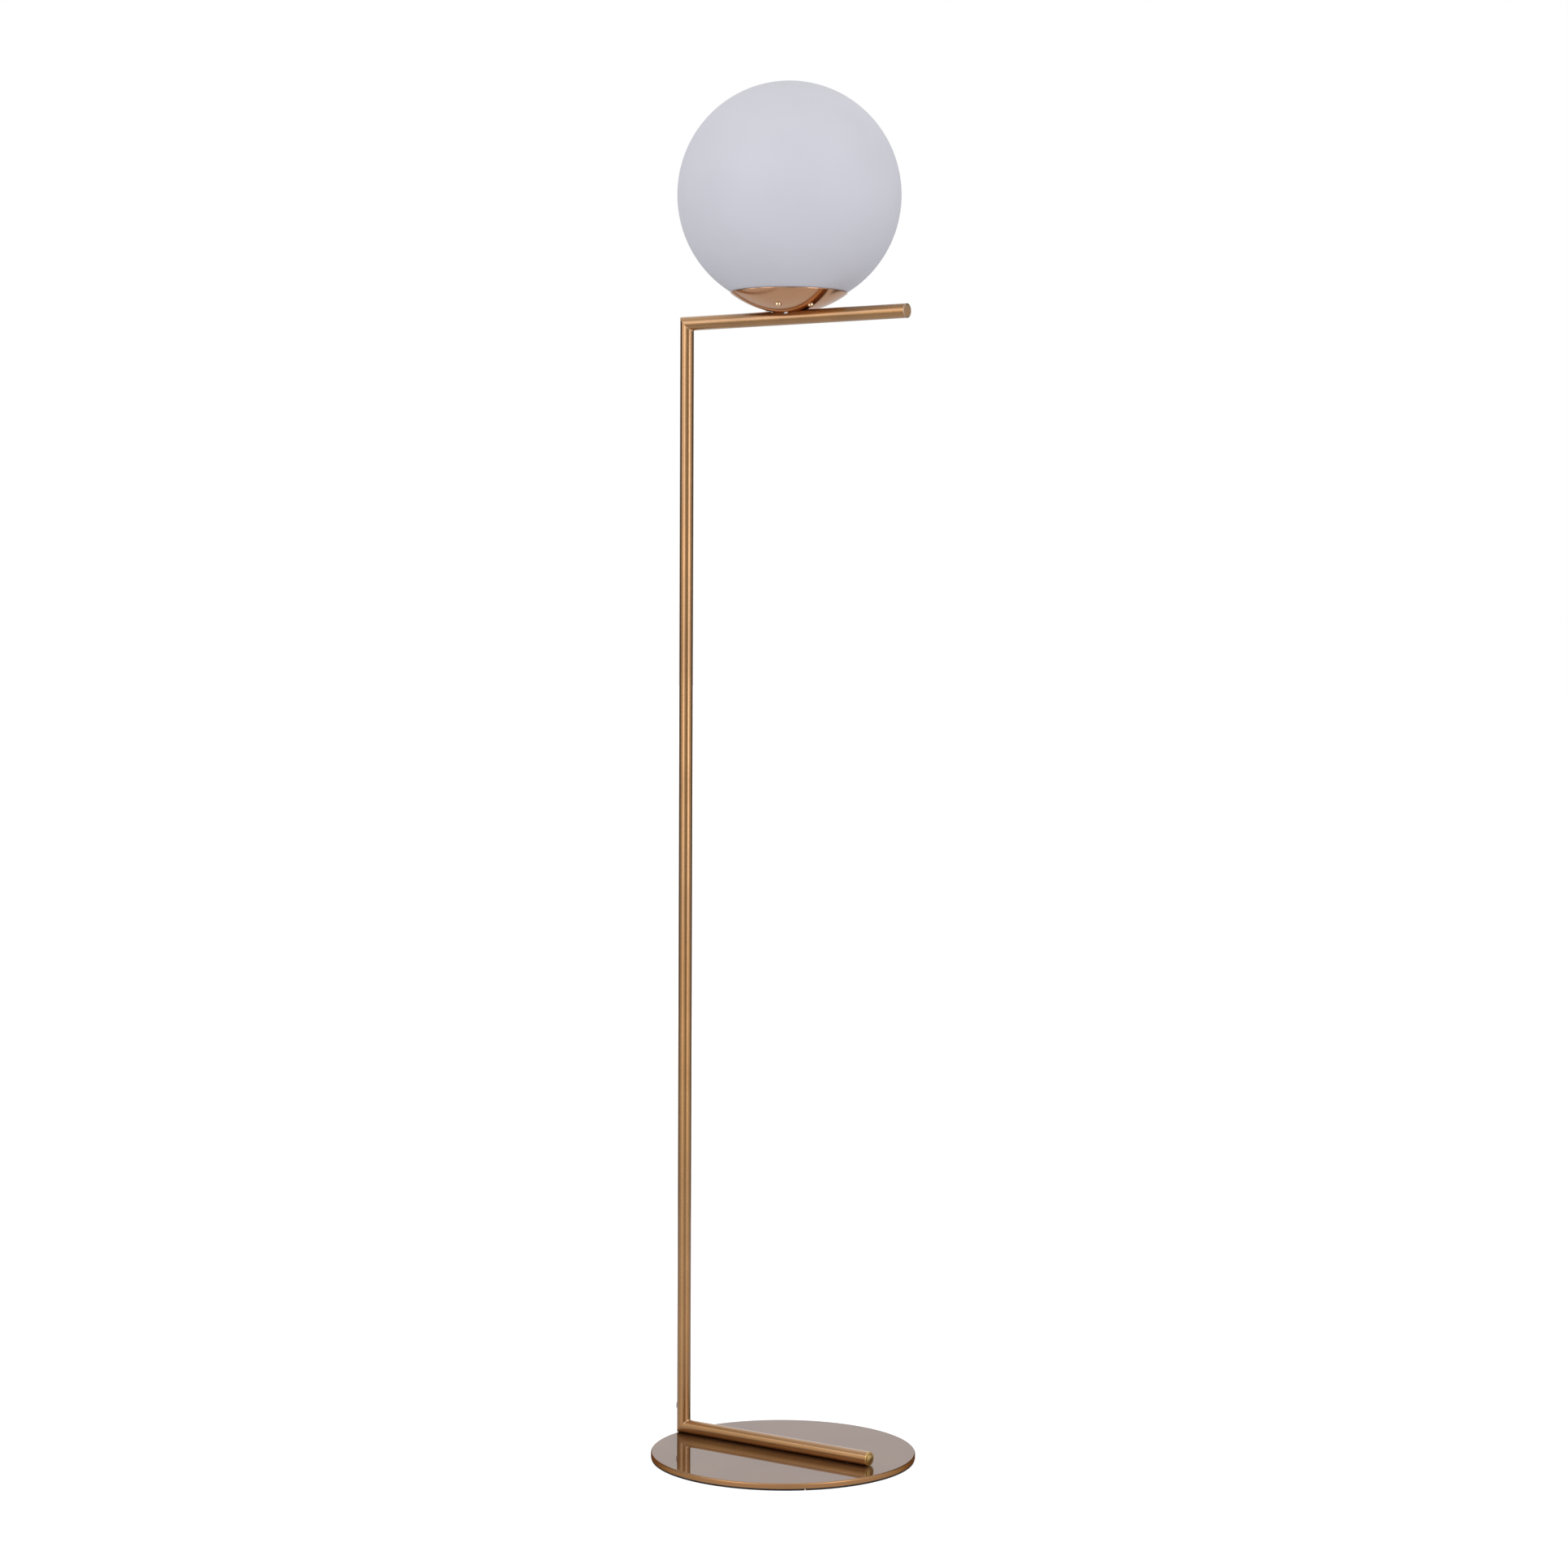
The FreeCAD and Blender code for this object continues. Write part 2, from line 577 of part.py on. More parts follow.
def grommet_layer(name, radius, inner, outer):
    """The part of a level rod that lies between two upright cylinders on the pole's axis."""
    rod = place(cylinder(name + "_rod", radius, "2 * tube_radius"), "-pole_offset", "0",
                "inlet_height", "-90", Vector(0, 1, 0))
    walls = []
    for side, wall in (("outer", outer), ("inner", inner)):
        upright = cylinder(name + "_" + side, wall, "4 * grommet_flange_radius")
        walls.append(place(upright, "-pole_offset", "0", "inlet_height - 2 * grommet_flange_radius"))
    return cut(name, common(name + "_reach", rod, walls[0]), walls[1])


def inlet_grommet():
    outermost, innermost = "tube_radius + grommet_flange", "tube_bore - grommet_flange"
    layers = [
        grommet_layer("grommet_outside", "grommet_flange_radius", "tube_radius", outermost),
        grommet_layer("grommet_neck", "grommet_radius - press_gap", innermost, outermost),
        grommet_layer("grommet_inside", "grommet_flange_radius", innermost, "tube_bore")]
    bore = place(cylinder("grommet_bore", "cable_radius + press_gap", "2 * tube_radius"),
                 "-pole_offset", "0", "inlet_height", "-90", Vector(0, 1, 0))
    single("inlet_grommet", cut("inlet_grommet", fuse("grommet_layers", layers), bore))


# ---------------------------------------------------------------------------------------------
# Arm: tube, end plug, anchor block and nipple
# ---------------------------------------------------------------------------------------------
def saddle(sketch):
    """The flat milled through the top of the arm and the block inside it, seen from the side."""
    outline(sketch, [("-saddle_half", "saddle_floor"), ("saddle_half", "saddle_floor"),
                     ("saddle_half", "2 * tube_radius"), ("-saddle_half", "2 * tube_radius")])


def arm_tube():
    body = new_body("arm_tube")
    ring_along_x(body, "-pole_offset - 2 * tube_radius", "arm_end")
    pocket(body, lambda sketch: outline(sketch, [
        ("-pole_offset - mitre_reach", "mitre_reach"), ("-pole_offset - mitre_reach", "-mitre_reach"),
        ("-pole_offset + mitre_reach", "-mitre_reach")]), "XZ_Plane")
    pocket(body, saddle, "XZ_Plane")
    place(body, z="arm_height")


def arm_end_plug():
    body = new_body("arm_end_plug")
    face = "arm_end - arm_plug_recess"
    revolve(body, [
        ("arm_end - plug_insert", "0"), ("arm_end - plug_insert", "insert_radius"),
        (face + " - plug_chamfer", "insert_radius"), (face, "insert_radius - plug_chamfer"),
        (face, "0")], "H_Axis")
    place(body, z="arm_height")


def arm_anchor():
    body = new_body("arm_anchor")
    revolve(body, [("-anchor_half", "0"), ("anchor_half", "0"), ("anchor_half", "insert_radius"),
                   ("-anchor_half", "insert_radius")], "H_Axis")
    pocket(body, saddle, "XZ_Plane")
    pocket(body, lambda sketch: circle(sketch, "0", "0", "cable_way_radius"), "YZ_Plane",
           "2 * anchor_half")
    thread = "nipple_radius + press_gap"
    pocket(body, lambda sketch: circle(sketch, "0", "0", thread), "XY_Plane", "2 * tube_radius", True)
    pocket(body, lambda sketch: circle(sketch, "0", "0", thread), "XY_Plane", "nipple_depth")
    place(body, z="arm_height")


def neck_nipple():
    body = new_body("neck_nipple")
    ring(body, "nipple_bore", "nipple_radius", "-nipple_depth",
         "holder_plate_top + nipple_in_holder - arm_height")
    pocket(body, lambda sketch: circle(sketch, "0", "0", "cable_way_radius"), "YZ_Plane",
           "2 * nipple_radius")
    place(body, z="arm_height")


def neck_collar():
    body = new_body("neck_collar")
    ring(body, "nipple_radius + slip_gap", "collar_radius", "0", "collar_thickness")
    place(body, z="bowl_bottom - collar_thickness")


# ---------------------------------------------------------------------------------------------
# Bowl: spun dish, its fastenings, the holder plate and what seats the globe
# ---------------------------------------------------------------------------------------------
def bowl_screw_angles():
    """Two pairs of screws, one pair on either side of the bowl."""
    return ["bowl_screw_turn + %d * bowl_screw_spread + %d" % (side, pair)
            for pair in (0, 180) for side in (-1, 1)]


def clip_angles():
    return ["clip_turn + %d * 360 / %d" % (index, CLIP_COUNT) for index in range(CLIP_COUNT)]


def bowl_screw_holes(sketch):
    for angle in bowl_screw_angles():
        x, y = around("bowl_screw_circle", angle)
        circle(sketch, x, y, "bowl_screw_radius + slip_gap")


def bowl():
    body = new_body("bowl")
    rim_inner = "sqrt(bowl_inner_curve ^ 2 - (arc_height - bowl_depth) ^ 2)"
    flat_inner = "sqrt(bowl_inner_curve ^ 2 - (arc_height - bowl_wall) ^ 2)"
    revolve(body, [
        ("nipple_radius + slip_gap", "0"), ("bowl_flat_radius", "0"), Arc("bowl_curve", -1),
        ("bowl_rim_radius", "bowl_depth"), (rim_inner, "bowl_depth"), Arc("bowl_inner_curve", 1),
        (flat_inner, "bowl_wall"), ("nipple_radius + slip_gap", "bowl_wall")])
    pocket(body, bowl_screw_holes, "XY_Plane")
    place(body, z="bowl_bottom")


def bowl_washer():
    body = new_body("bowl_washer")
    ring(body, "nipple_radius + slip_gap", "washer_radius", "0", "washer_thickness")
    place(body, z="bowl_bottom + bowl_wall")


def neck_nut():
    nut = hex_nut("neck_nut", "neck_nut_flats", "neck_nut_height", "nipple_radius + slip_gap",
                  z="bowl_bottom + bowl_wall + washer_thickness")
    single("neck_nut", nut)


def holder_plate():
    body = new_body("holder_plate")
    ring(body, "nipple_radius + slip_gap", "holder_plate_radius", "0", "holder_plate_thickness")
    pocket(body, bowl_screw_holes, "XY_Plane")

    def rivet_holes(sketch):
        for angle in clip_angles():
            x, y = around("clip_face - clip_foot / 2", angle)
            circle(sketch, x, y, "rivet_radius + press_gap")
    pocket(body, rivet_holes, "XY_Plane")
    place(body, z="bowl_bottom + plate_lift")


def ball(name, radius):
    """A ball that follows one face of the bowl."""
    thing = doc.addObject("Part::Sphere", name)
    tie(thing, "Radius", radius)
    return place(thing, z="bowl_bottom + arc_height")


def plate_spacers():
    spacers = []
    for index, angle in enumerate(bowl_screw_angles(), start=1):
        name = "plate_spacer_%d" % index
        x, y = around("bowl_screw_circle", angle)
        outer = place(cylinder(name + "_outer", "spacer_radius", "plate_lift"), x, y, "bowl_bottom")
        bore = cylinder(name + "_bore", "bowl_screw_radius + slip_gap", "plate_lift")
        place(bore, x, y, "bowl_bottom")
        shaped = common(name + "_shaped", outer, ball(name + "_ball", "bowl_inner_curve"))
        spacers.append(cut(name, shaped, bore))
    group("plate_spacers", spacers)


def bowl_screws():
    """Domed heads under the bowl, cut to its curve, with shanks up through the holder plate."""
    screws = []
    head_bottom = "screw_seat - bowl_head_height"
    dome = "(bowl_head_radius ^ 2 + bowl_head_dome ^ 2) / (2 * bowl_head_dome)"
    head_top = "bowl_depth"
    shank_top = "plate_lift + holder_plate_thickness + bowl_nut_height + thread_end"
    for index, angle in enumerate(bowl_screw_angles(), start=1):
        name = "bowl_screw_%d" % index
        x, y = around("bowl_screw_circle", angle)
        head = doc.addObject("PartDesign::Body", name + "_head")
        revolve(head, [
            ("0", head_bottom), Arc(dome, -1),
            ("bowl_head_radius", "screw_seat - bowl_head_height + bowl_head_dome"),
            ("bowl_head_radius", head_top), ("0", head_top)])
        place(head, x, y, "bowl_bottom")
        seated = cut(name + "_seated", head, ball(name + "_ball", "bowl_curve"))
        shank = cylinder(name + "_shank", "bowl_screw_radius",
                         shank_top + " - screw_seat + bowl_head_height / 2")
        place(shank, x, y, "bowl_bottom + screw_seat - bowl_head_height / 2")
        screws.append(fuse(name, [seated, shank]))
    group("bowl_screws", screws)


def bowl_screw_nuts():
    nuts = []
    for index, angle in enumerate(bowl_screw_angles(), start=1):
        x, y = around("bowl_screw_circle", angle)
        nuts.append(hex_nut("bowl_screw_nut_%d" % index, "bowl_nut_flats", "bowl_nut_height",
                            "bowl_screw_radius + press_gap", x, y, "holder_plate_top"))
    group("bowl_screw_nuts", nuts)


def globe_clips():
    """Three bent spring fingers that centre the cut edge of the globe."""
    clips = []
    for index, angle in enumerate(clip_angles(), start=1):
        name = "globe_clip_%d" % index
        foot = place(box(name + "_foot", "clip_foot", "clip_width", "clip_sheet"),
                     "clip_face - clip_foot", "-clip_width / 2")
        finger = place(box(name + "_finger", "clip_sheet", "clip_width", "clip_height"),
                       "clip_face - clip_sheet", "-clip_width / 2")
        hole = place(cylinder(name + "_hole", "rivet_radius + press_gap", "clip_sheet"),
                     "clip_face - clip_foot / 2")
        clip = cut(name, fuse(name + "_bent", [foot, finger]), hole)
        clips.append(place(clip, z="holder_plate_top", turn=angle))
    group("globe_clips", clips)


def clip_rivets():
    rivets = []
    below = "-holder_plate_thickness"
    above = "clip_sheet"
    for index, angle in enumerate(clip_angles(), start=1):
        body = doc.addObject("PartDesign::Body", "clip_rivet_%d" % index)
        revolve(body, [
            ("0", below + " - rivet_head_height"), ("rivet_head_radius", below + " - rivet_head_height"),
            ("rivet_head_radius", below), ("rivet_radius", below), ("rivet_radius", above),
            ("rivet_head_radius", above), ("rivet_head_radius", above + " + rivet_head_height"),
            ("0", above + " + rivet_head_height")])
        x, y = around("clip_face - clip_foot / 2", angle)
        rivets.append(place(body, x, y, "holder_plate_top"))
    group("clip_rivets", rivets)


def glass_gasket():
    body = new_body("glass_gasket")
    under_inner = "arc_height - sqrt(bowl_inner_curve ^ 2 - gasket_inner ^ 2)"
    under_outer = "arc_height - sqrt(bowl_inner_curve ^ 2 - gasket_outer ^ 2)"
    revolve(body, [
        ("gasket_inner", under_inner), Arc("bowl_inner_curve", -1), ("gasket_outer", under_outer),
        ("gasket_outer", "gasket_top"), ("gasket_inner", "gasket_top")])
    place(body, z="bowl_bottom")


def glass_globe():
    body = new_body("glass_globe")
    inner = "globe_radius - globe_wall"
    revolve(body, [
        ("cut_outer", "-globe_cut"), Arc("globe_radius", -1), ("0", "globe_radius"), ("0", inner),
        Arc(inner, 1), ("globe_mouth_radius", "-globe_cut")])
    place(body, z="globe_middle")


# ---------------------------------------------------------------------------------------------
# Lampholder and bulb, measured up from the holder plate
# ---------------------------------------------------------------------------------------------
def on_plate(name, corners):
    body = new_body(name)
    revolve(body, corners)
    return place(body, z="holder_plate_top")


def holder_cap():
    thread = "nipple_radius + press_gap"
    inner = "holder_radius - holder_wall + block_gap"
    shoulder = "holder_radius - holder_wall - holder_shoulder_width"
    on_plate("holder_cap", [
        (thread, "0"), ("holder_foot_radius", "0"), ("holder_radius", "holder_flare_height"),
        ("holder_radius", "holder_cap_height"), (inner, "holder_cap_height"),
        (inner, "holder_shoulder"), (shoulder, "holder_shoulder"), (shoulder, "holder_flare_height"),
        ("holder_foot_radius - holder_wall", "holder_floor"), ("holder_boss_radius", "holder_floor"),
        ("holder_boss_radius", "holder_boss_height"), (thread, "holder_boss_height")])


def holder_block():
    edge = "holder_radius - holder_wall"
    body = on_plate("holder_block", [
        ("0", "holder_shoulder"), (edge, "holder_shoulder"), (edge, "block_top"), ("0", "block_top")])

    def core_holes(sketch):
        for side in (-1, 1):
            circle(sketch, "0", "%d * core_offset" % side, "core_radius + press_gap")
    pocket(body, core_holes, "XY_Plane", "holder_shoulder + core_in_block", True)
    upper = body.newObject("Sketcher::SketchObject", "holder_block_top_sketch")
    face = max(body.Tip.Shape.Faces, key=lambda item: item.CenterOfMass.z)
    index = [item.isSame(face) for item in body.Tip.Shape.Faces].index(True) + 1
    upper.AttachmentSupport = [(body.Tip, "Face%d" % index)]
    upper.MapMode = "FlatFace"
    doc.recompute()
    circle(upper, "0", "0", "contact_stem_radius + press_gap")
    before = body.Shape.Volume
    stem_hole = body.newObject("PartDesign::Pocket", "holder_block_stem_hole")
    stem_hole.Profile = upper
    tie(stem_hole, "Length", "contact_stem_length")
    doc.recompute()
    if body.Shape.Volume > before - 1e-3:
        raise RuntimeError("the stem's hole removes nothing")


def holder_contact():
    on_plate("holder_contact", [
        ("0", "block_top - contact_stem_length"), ("contact_stem_radius", "block_top - contact_stem_length"),
        ("contact_stem_radius", "block_top"), ("contact_radius", "block_top"),
        ("contact_radius", "block_top + contact_height"), ("0", "block_top + contact_height")])


def holder_shell():
    top = "block_top + shell_height"
    on_plate("holder_shell", [
        ("shell_inner_radius", "block_top"), ("shell_radius", "block_top"), ("shell_radius", top),
        ("shell_inner_radius", top)])


def holder_sleeve():
    skirt, bore = "holder_radius + press_gap", "shell_radius + sleeve_gap"
    on_plate("holder_sleeve", [
        (skirt, "holder_cap_height - sleeve_overlap"),
        ("holder_radius + holder_wall", "holder_cap_height - sleeve_overlap"),
        ("holder_radius + holder_wall", "block_top"), ("sleeve_top_radius", "sleeve_top"),
        (bore, "sleeve_top"), (bore, "block_top + sleeve_gap"), (skirt, "block_top + sleeve_gap")])


def bulb():
    tip_top = "bulb_seat + bulb_tip_height"
    on_plate("bulb_contact", [
        ("0", "bulb_seat"), ("bulb_tip_radius", "bulb_seat"), ("bulb_tip_radius", tip_top), ("0", tip_top)])
    on_plate("bulb_insulator", [
        ("0", tip_top), ("bulb_tip_radius", tip_top), ("bulb_insulator_radius", "bulb_cap_bottom"),
        ("0", "bulb_cap_bottom")])
    inside = "bulb_cap_radius - bulb_cap_wall"
    on_plate("bulb_cap", [
        ("0", "bulb_cap_bottom"), ("bulb_insulator_radius", "bulb_cap_bottom"),
        ("bulb_cap_radius", "bulb_cap_bottom + bulb_cap_radius - bulb_insulator_radius"),
        ("bulb_cap_radius", "bulb_cap_top"), (inside, "bulb_cap_top"),
        (inside, "bulb_cap_bottom + bulb_cap_radius - bulb_insulator_radius"),
        ("0", "bulb_cap_bottom + bulb_cap_radius - bulb_insulator_radius")])
    middle = "bulb_cap_top + bulb_middle"
    inner = "bulb_radius - bulb_wall"
    shoulder = "%s - (%s) * sin(bulb_shoulder_angle)"
    neck_top = "bulb_cap_top + bulb_neck_rise"
    neck_bottom = "bulb_cap_top - bulb_neck_insert"
    on_plate("bulb_glass", [
        ("bulb_neck - bulb_wall", neck_bottom), ("bulb_neck", neck_bottom), ("bulb_neck", neck_top),
        ("bulb_radius * cos(bulb_shoulder_angle)", shoulder % (middle, "bulb_radius")),
        Arc("bulb_radius", -1), ("0", middle + " + bulb_radius"), ("0", middle + " + " + inner),
        Arc(inner, 1), ("(%s) * cos(bulb_shoulder_angle)" % inner, shoulder % (middle, inner)),
        ("bulb_neck - bulb_wall", neck_top)])


# ---------------------------------------------------------------------------------------------
# Cable inside the lamp, from the lampholder to the inlet at the heel
# ---------------------------------------------------------------------------------------------
def rounded_path(corners, radii):
    """Straight runs joined by tangent arcs, one radius for each inner corner."""
    edges, start = [], corners[0]
    for before, corner, after, radius in zip(corners, corners[1:], corners[2:], radii):
        back = (before - corner).normalize()
        ahead = (after - corner).normalize()
        half_turn = back.getAngle(ahead) / 2
        reach = radius / math.tan(half_turn)
        first, last = corner + back * reach, corner + ahead * reach
        inwards = (back + ahead).normalize()
        middle = corner + inwards * (radius / math.sin(half_turn) - radius)
        edges += [Part.LineSegment(start, first).toShape(), Part.Arc(first, middle, last).toShape()]
        start = last
    edges.append(Part.LineSegment(start, corners[-1]).toShape())
    return Part.Wire(edges)


def lamp_cable():
    pole_x, arm_z, inlet_z = -number("pole_offset"), number("arm_height"), number("inlet_height")
    corners = [
        Vector(0, 0, number("holder_plate_top + sheath_end")), Vector(0, 0, arm_z),
        Vector(pole_x, 0, arm_z), Vector(pole_x, 0, inlet_z),
        Vector(pole_x - number("tube_radius + grommet_flange"), 0, inlet_z)]
    radii = [number(name) for name in ("neck_bend_radius", "corner_bend_radius", "inlet_bend_radius")]
    path = rounded_path(corners, radii)
    radius = number("cable_radius")
    section = Part.Wire(Part.Circle(corners[0], Vector(0, 0, 1), radius).toShape())
    shape = path.makePipeShell([section], True, False)
    expected = math.pi * radius ** 2 * path.Length
    print("cable: length %.1f mm, bends %s mm" % (path.Length, radii))
    if abs(shape.Volume - expected) > 0.01 * expected:
        raise RuntimeError("the cable's volume is %.1f, not %.1f" % (shape.Volume, expected))
    cable = doc.addObject("Part::Feature", "lamp_cable")
    cable.Shape = shape
    single("lamp_cable", cable)


def cable_cores():
    cores = []
    for index, side in enumerate((-1, 1), start=1):
        core = cylinder("cable_core_%d" % index, "core_radius", "holder_shoulder + core_in_block - sheath_end")
        cores.append(place(core, "0", "%d * core_offset" % side, "holder_plate_top + sheath_end"))
    group("cable_cores", cores)


# ---------------------------------------------------------------------------------------------
# Build, check and write
# ---------------------------------------------------------------------------------------------
def build():
    for make in (base_pad, base_plate, foot_tube, foot_end_plug, foot_blocks, foot_screws, heel_riser):
        make()
    pole_section("lower_pole", "lower_seam_height", "middle_seam_height")
    pole_section("upper_pole", "middle_seam_height", "upper_seam_height")
    arm_riser()
    for level, seam in JOINT_SEAMS.items():
        pole_joint(level, seam)
    for make in (inlet_grommet, arm_tube, arm_end_plug, arm_anchor, neck_nipple, neck_collar, bowl,
                 bowl_washer, neck_nut, holder_plate, plate_spacers, bowl_screws, bowl_screw_nuts,
                 globe_clips, clip_rivets, glass_gasket, glass_globe, holder_cap, holder_block,
                 holder_contact, holder_shell, holder_sleeve, bulb, lamp_cable, cable_cores):
        make()
    doc.recompute()


def check():
    """Stop if any object failed or any node's shape is empty or invalid."""
    for thing in doc.Objects:
        if "Invalid" in thing.State or "Error" in thing.State:
            raise RuntimeError("%s: %s" % (thing.Name, thing.State))
    for name, thing in parts.items():
        if thing.Shape.isNull() or not thing.Shape.isValid() or not thing.Shape.Solids:
            raise RuntimeError("%s has no valid solid" % name)


def write():
    os.makedirs("parts", exist_ok=True)
    for name, thing in parts.items():
        thing.Shape.exportStep("parts/%s.step" % name)
        print("%-20s %2d solid(s) %12.1f mm3" % (name, len(thing.Shape.Solids), thing.Shape.Volume))


build()
check()
write()
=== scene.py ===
"""Looks of a globe floor lamp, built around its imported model.

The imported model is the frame: sizes and places are read from its nodes or follow from them.
Lengths are metres, +Z is up, the globe's axis is x = y = 0 and the pole stands at -X. Each
sub-assembly is a class that builds its pieces and dresses them in its finishes.
"""

import json
import logging
import math
from collections.abc import Sequence
from dataclasses import dataclass, replace
from enum import Enum
from functools import cache

import bmesh
import bpy
from bpy.types import Material, Mesh, NodeOutputs, NodeSocket, NodeTree, Object, World
from mathutils import Matrix, Vector

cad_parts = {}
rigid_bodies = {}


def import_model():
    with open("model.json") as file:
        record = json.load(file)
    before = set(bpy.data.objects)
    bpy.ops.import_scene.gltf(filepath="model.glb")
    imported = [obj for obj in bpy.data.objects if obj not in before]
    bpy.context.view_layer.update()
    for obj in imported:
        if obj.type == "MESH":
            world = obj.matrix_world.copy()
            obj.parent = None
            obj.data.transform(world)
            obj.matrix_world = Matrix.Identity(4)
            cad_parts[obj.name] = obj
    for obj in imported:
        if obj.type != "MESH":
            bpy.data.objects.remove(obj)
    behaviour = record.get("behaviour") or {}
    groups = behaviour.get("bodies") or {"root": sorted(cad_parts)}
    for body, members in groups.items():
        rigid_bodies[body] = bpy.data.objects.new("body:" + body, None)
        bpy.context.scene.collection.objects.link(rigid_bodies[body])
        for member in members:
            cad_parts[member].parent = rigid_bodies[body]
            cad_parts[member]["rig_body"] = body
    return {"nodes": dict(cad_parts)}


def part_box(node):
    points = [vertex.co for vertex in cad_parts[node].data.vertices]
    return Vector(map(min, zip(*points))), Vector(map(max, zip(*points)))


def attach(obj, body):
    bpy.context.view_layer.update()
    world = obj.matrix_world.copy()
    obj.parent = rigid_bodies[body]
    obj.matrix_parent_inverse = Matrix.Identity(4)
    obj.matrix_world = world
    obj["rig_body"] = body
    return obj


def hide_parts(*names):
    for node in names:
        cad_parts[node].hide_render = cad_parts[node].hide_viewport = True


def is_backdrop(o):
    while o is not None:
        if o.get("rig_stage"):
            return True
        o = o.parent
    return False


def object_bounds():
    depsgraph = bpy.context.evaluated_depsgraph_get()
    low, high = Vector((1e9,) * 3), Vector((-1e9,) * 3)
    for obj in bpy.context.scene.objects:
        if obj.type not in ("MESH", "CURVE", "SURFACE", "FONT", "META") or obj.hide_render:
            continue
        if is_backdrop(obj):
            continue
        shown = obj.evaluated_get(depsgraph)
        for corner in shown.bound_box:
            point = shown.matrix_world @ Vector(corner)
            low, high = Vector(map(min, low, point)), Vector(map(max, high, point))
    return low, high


LOG = logging.getLogger("globe_floor_lamp")

MM = 0.001
SHARP_ANGLE = math.radians(32)
MERGE_DISTANCE = 1e-7
PLATE_TURN, FINE_TURN, TUBE_TURN, HOLDER_TURN = 384, 192, 128, 96
COARSE_TURN, SCREW_TURN, RIVET_TURN = 64, 48, 32
THREAD_PITCH = 3.629 * MM
WHITE, BLACK = (1.0, 1.0, 1.0), (0.0, 0.0, 0.0)

Colour = tuple[float, float, float]
Section = list[tuple[float, float]]


class Lie(Enum):
    """How a piece that is built along its own Z axis lies in the lamp."""

    UPRIGHT = Matrix.Identity(4)
    ALONG_ARM = Matrix(((0, 0, 1, 0), (0, -1, 0, 0), (1, 0, 0, 0), (0, 0, 0, 1)))
    TO_THE_BACK = Matrix(((0, 0, -1, 0), (0, 1, 0, 0), (1, 0, 0, 0), (0, 0, 0, 1)))


class Slot(Enum):
    """Material slots of the record."""

    TUBE = "brushed_tube"
    TURNED = "turned_brass"
    BOWL = "polished_bowl"
    PLATE = "plate_lacquer"
    PAD = "pad_foam"
    STEEL = "steel"
    NICKEL = "nickel"
    RUBBER = "black_rubber"
    SILICONE = "silicone"
    HOLDER = "holder_plastic"
    INSULATOR = "black_glass"
    BULB = "bulb_glass"
    OPAL = "opal_glass"
    CABLE = "cable_sheath"


# ---- Node trees ----
SOCKETS = {"VALUE": "NodeSocketFloat", "INT": "NodeSocketInt", "VECTOR": "NodeSocketVector",
           "RGBA": "NodeSocketColor", "GEOMETRY": "NodeSocketGeometry",
           "MATERIAL": "NodeSocketMaterial"}
NUMBERS = {float: "VALUE", int: "INT"}


class Wires:
    """Adds nodes to one tree and joins their sockets."""

    def __init__(self, tree: NodeTree) -> None:
        """Remember the tree that is wired."""
        self.tree = tree

    def add(self, kind: str, feeds: dict | None = None, **settings: object) -> bpy.types.Node:
        """Add one node.

        Args:
            kind: Blender's type name of the node.
            feeds: Input name or index to a value, or to a socket that feeds it.
            **settings: Properties of the node, set before its inputs are fed.

        Returns:
            The new node.
        """
        node = self.tree.nodes.new(kind)
        for name, value in settings.items():
            setattr(node, name, value)
        self.feed(node, feeds or {})
        return node

    def feed(self, node: bpy.types.Node, feeds: dict) -> None:
        """Link sockets into a node's inputs, or set the inputs' own values.

        Args:
            node: The node that is fed.
            feeds: Input name (_ for a space) or index to a value or a socket.
        """
        for key, value in feeds.items():
            socket = node.inputs[key.replace("_", " ") if isinstance(key, str) else key]
            if isinstance(value, NodeSocket):
                self.tree.links.new(value, socket)
            elif socket.type == "RGBA" and len(value) == 3:
                socket.default_value = (*value, 1.0)
            else:
                socket.default_value = value

    def out(self, kind: str, feeds: dict | None = None, **settings: object) -> NodeSocket:
        """Add one node, as add does; returns its first output."""
        return self.add(kind, feeds, **settings).outputs[0]

    def calc(self, operation: str, *values: object) -> NodeSocket:
        """One Math node; returns its output."""
        return self.out("ShaderNodeMath", dict(enumerate(values)), operation=operation)

    def measure(self, operation: str, *values: object) -> NodeSocket:
        """One Vector Math node that measures; returns its number."""
        return self.add("ShaderNodeVectorMath", dict(enumerate(values)),
                        operation=operation).outputs["Value"]

    def mix(self, factor: object, low: object, high: object) -> NodeSocket:
        """Blend two colours by a factor; returns the colour."""
        return self.add("ShaderNodeMix", {0: factor, 6: low, 7: high}, data_type="RGBA").outputs[2]

    def ramp(self, value: object, low: object, high: object, start: object = 0.0,
             stop: object = 1.0, **settings: object) -> NodeSocket:
        """Turn start..stop into low..high, held at both ends; returns the number."""
        return self.out("ShaderNodeMapRange", {0: value, 1: start, 2: stop, 3: low, 4: high},
                        **settings)

    def split(self, vector: NodeSocket) -> Sequence[NodeSocket]:
        """The three parts of a vector."""
        return self.add("ShaderNodeSeparateXYZ", {0: vector}).outputs

    def vector(self, x: object = 0.0, y: object = 0.0, z: object = 0.0) -> NodeSocket:
        """A vector of three parts."""
        return self.out("ShaderNodeCombineXYZ", {0: x, 1: y, 2: z})


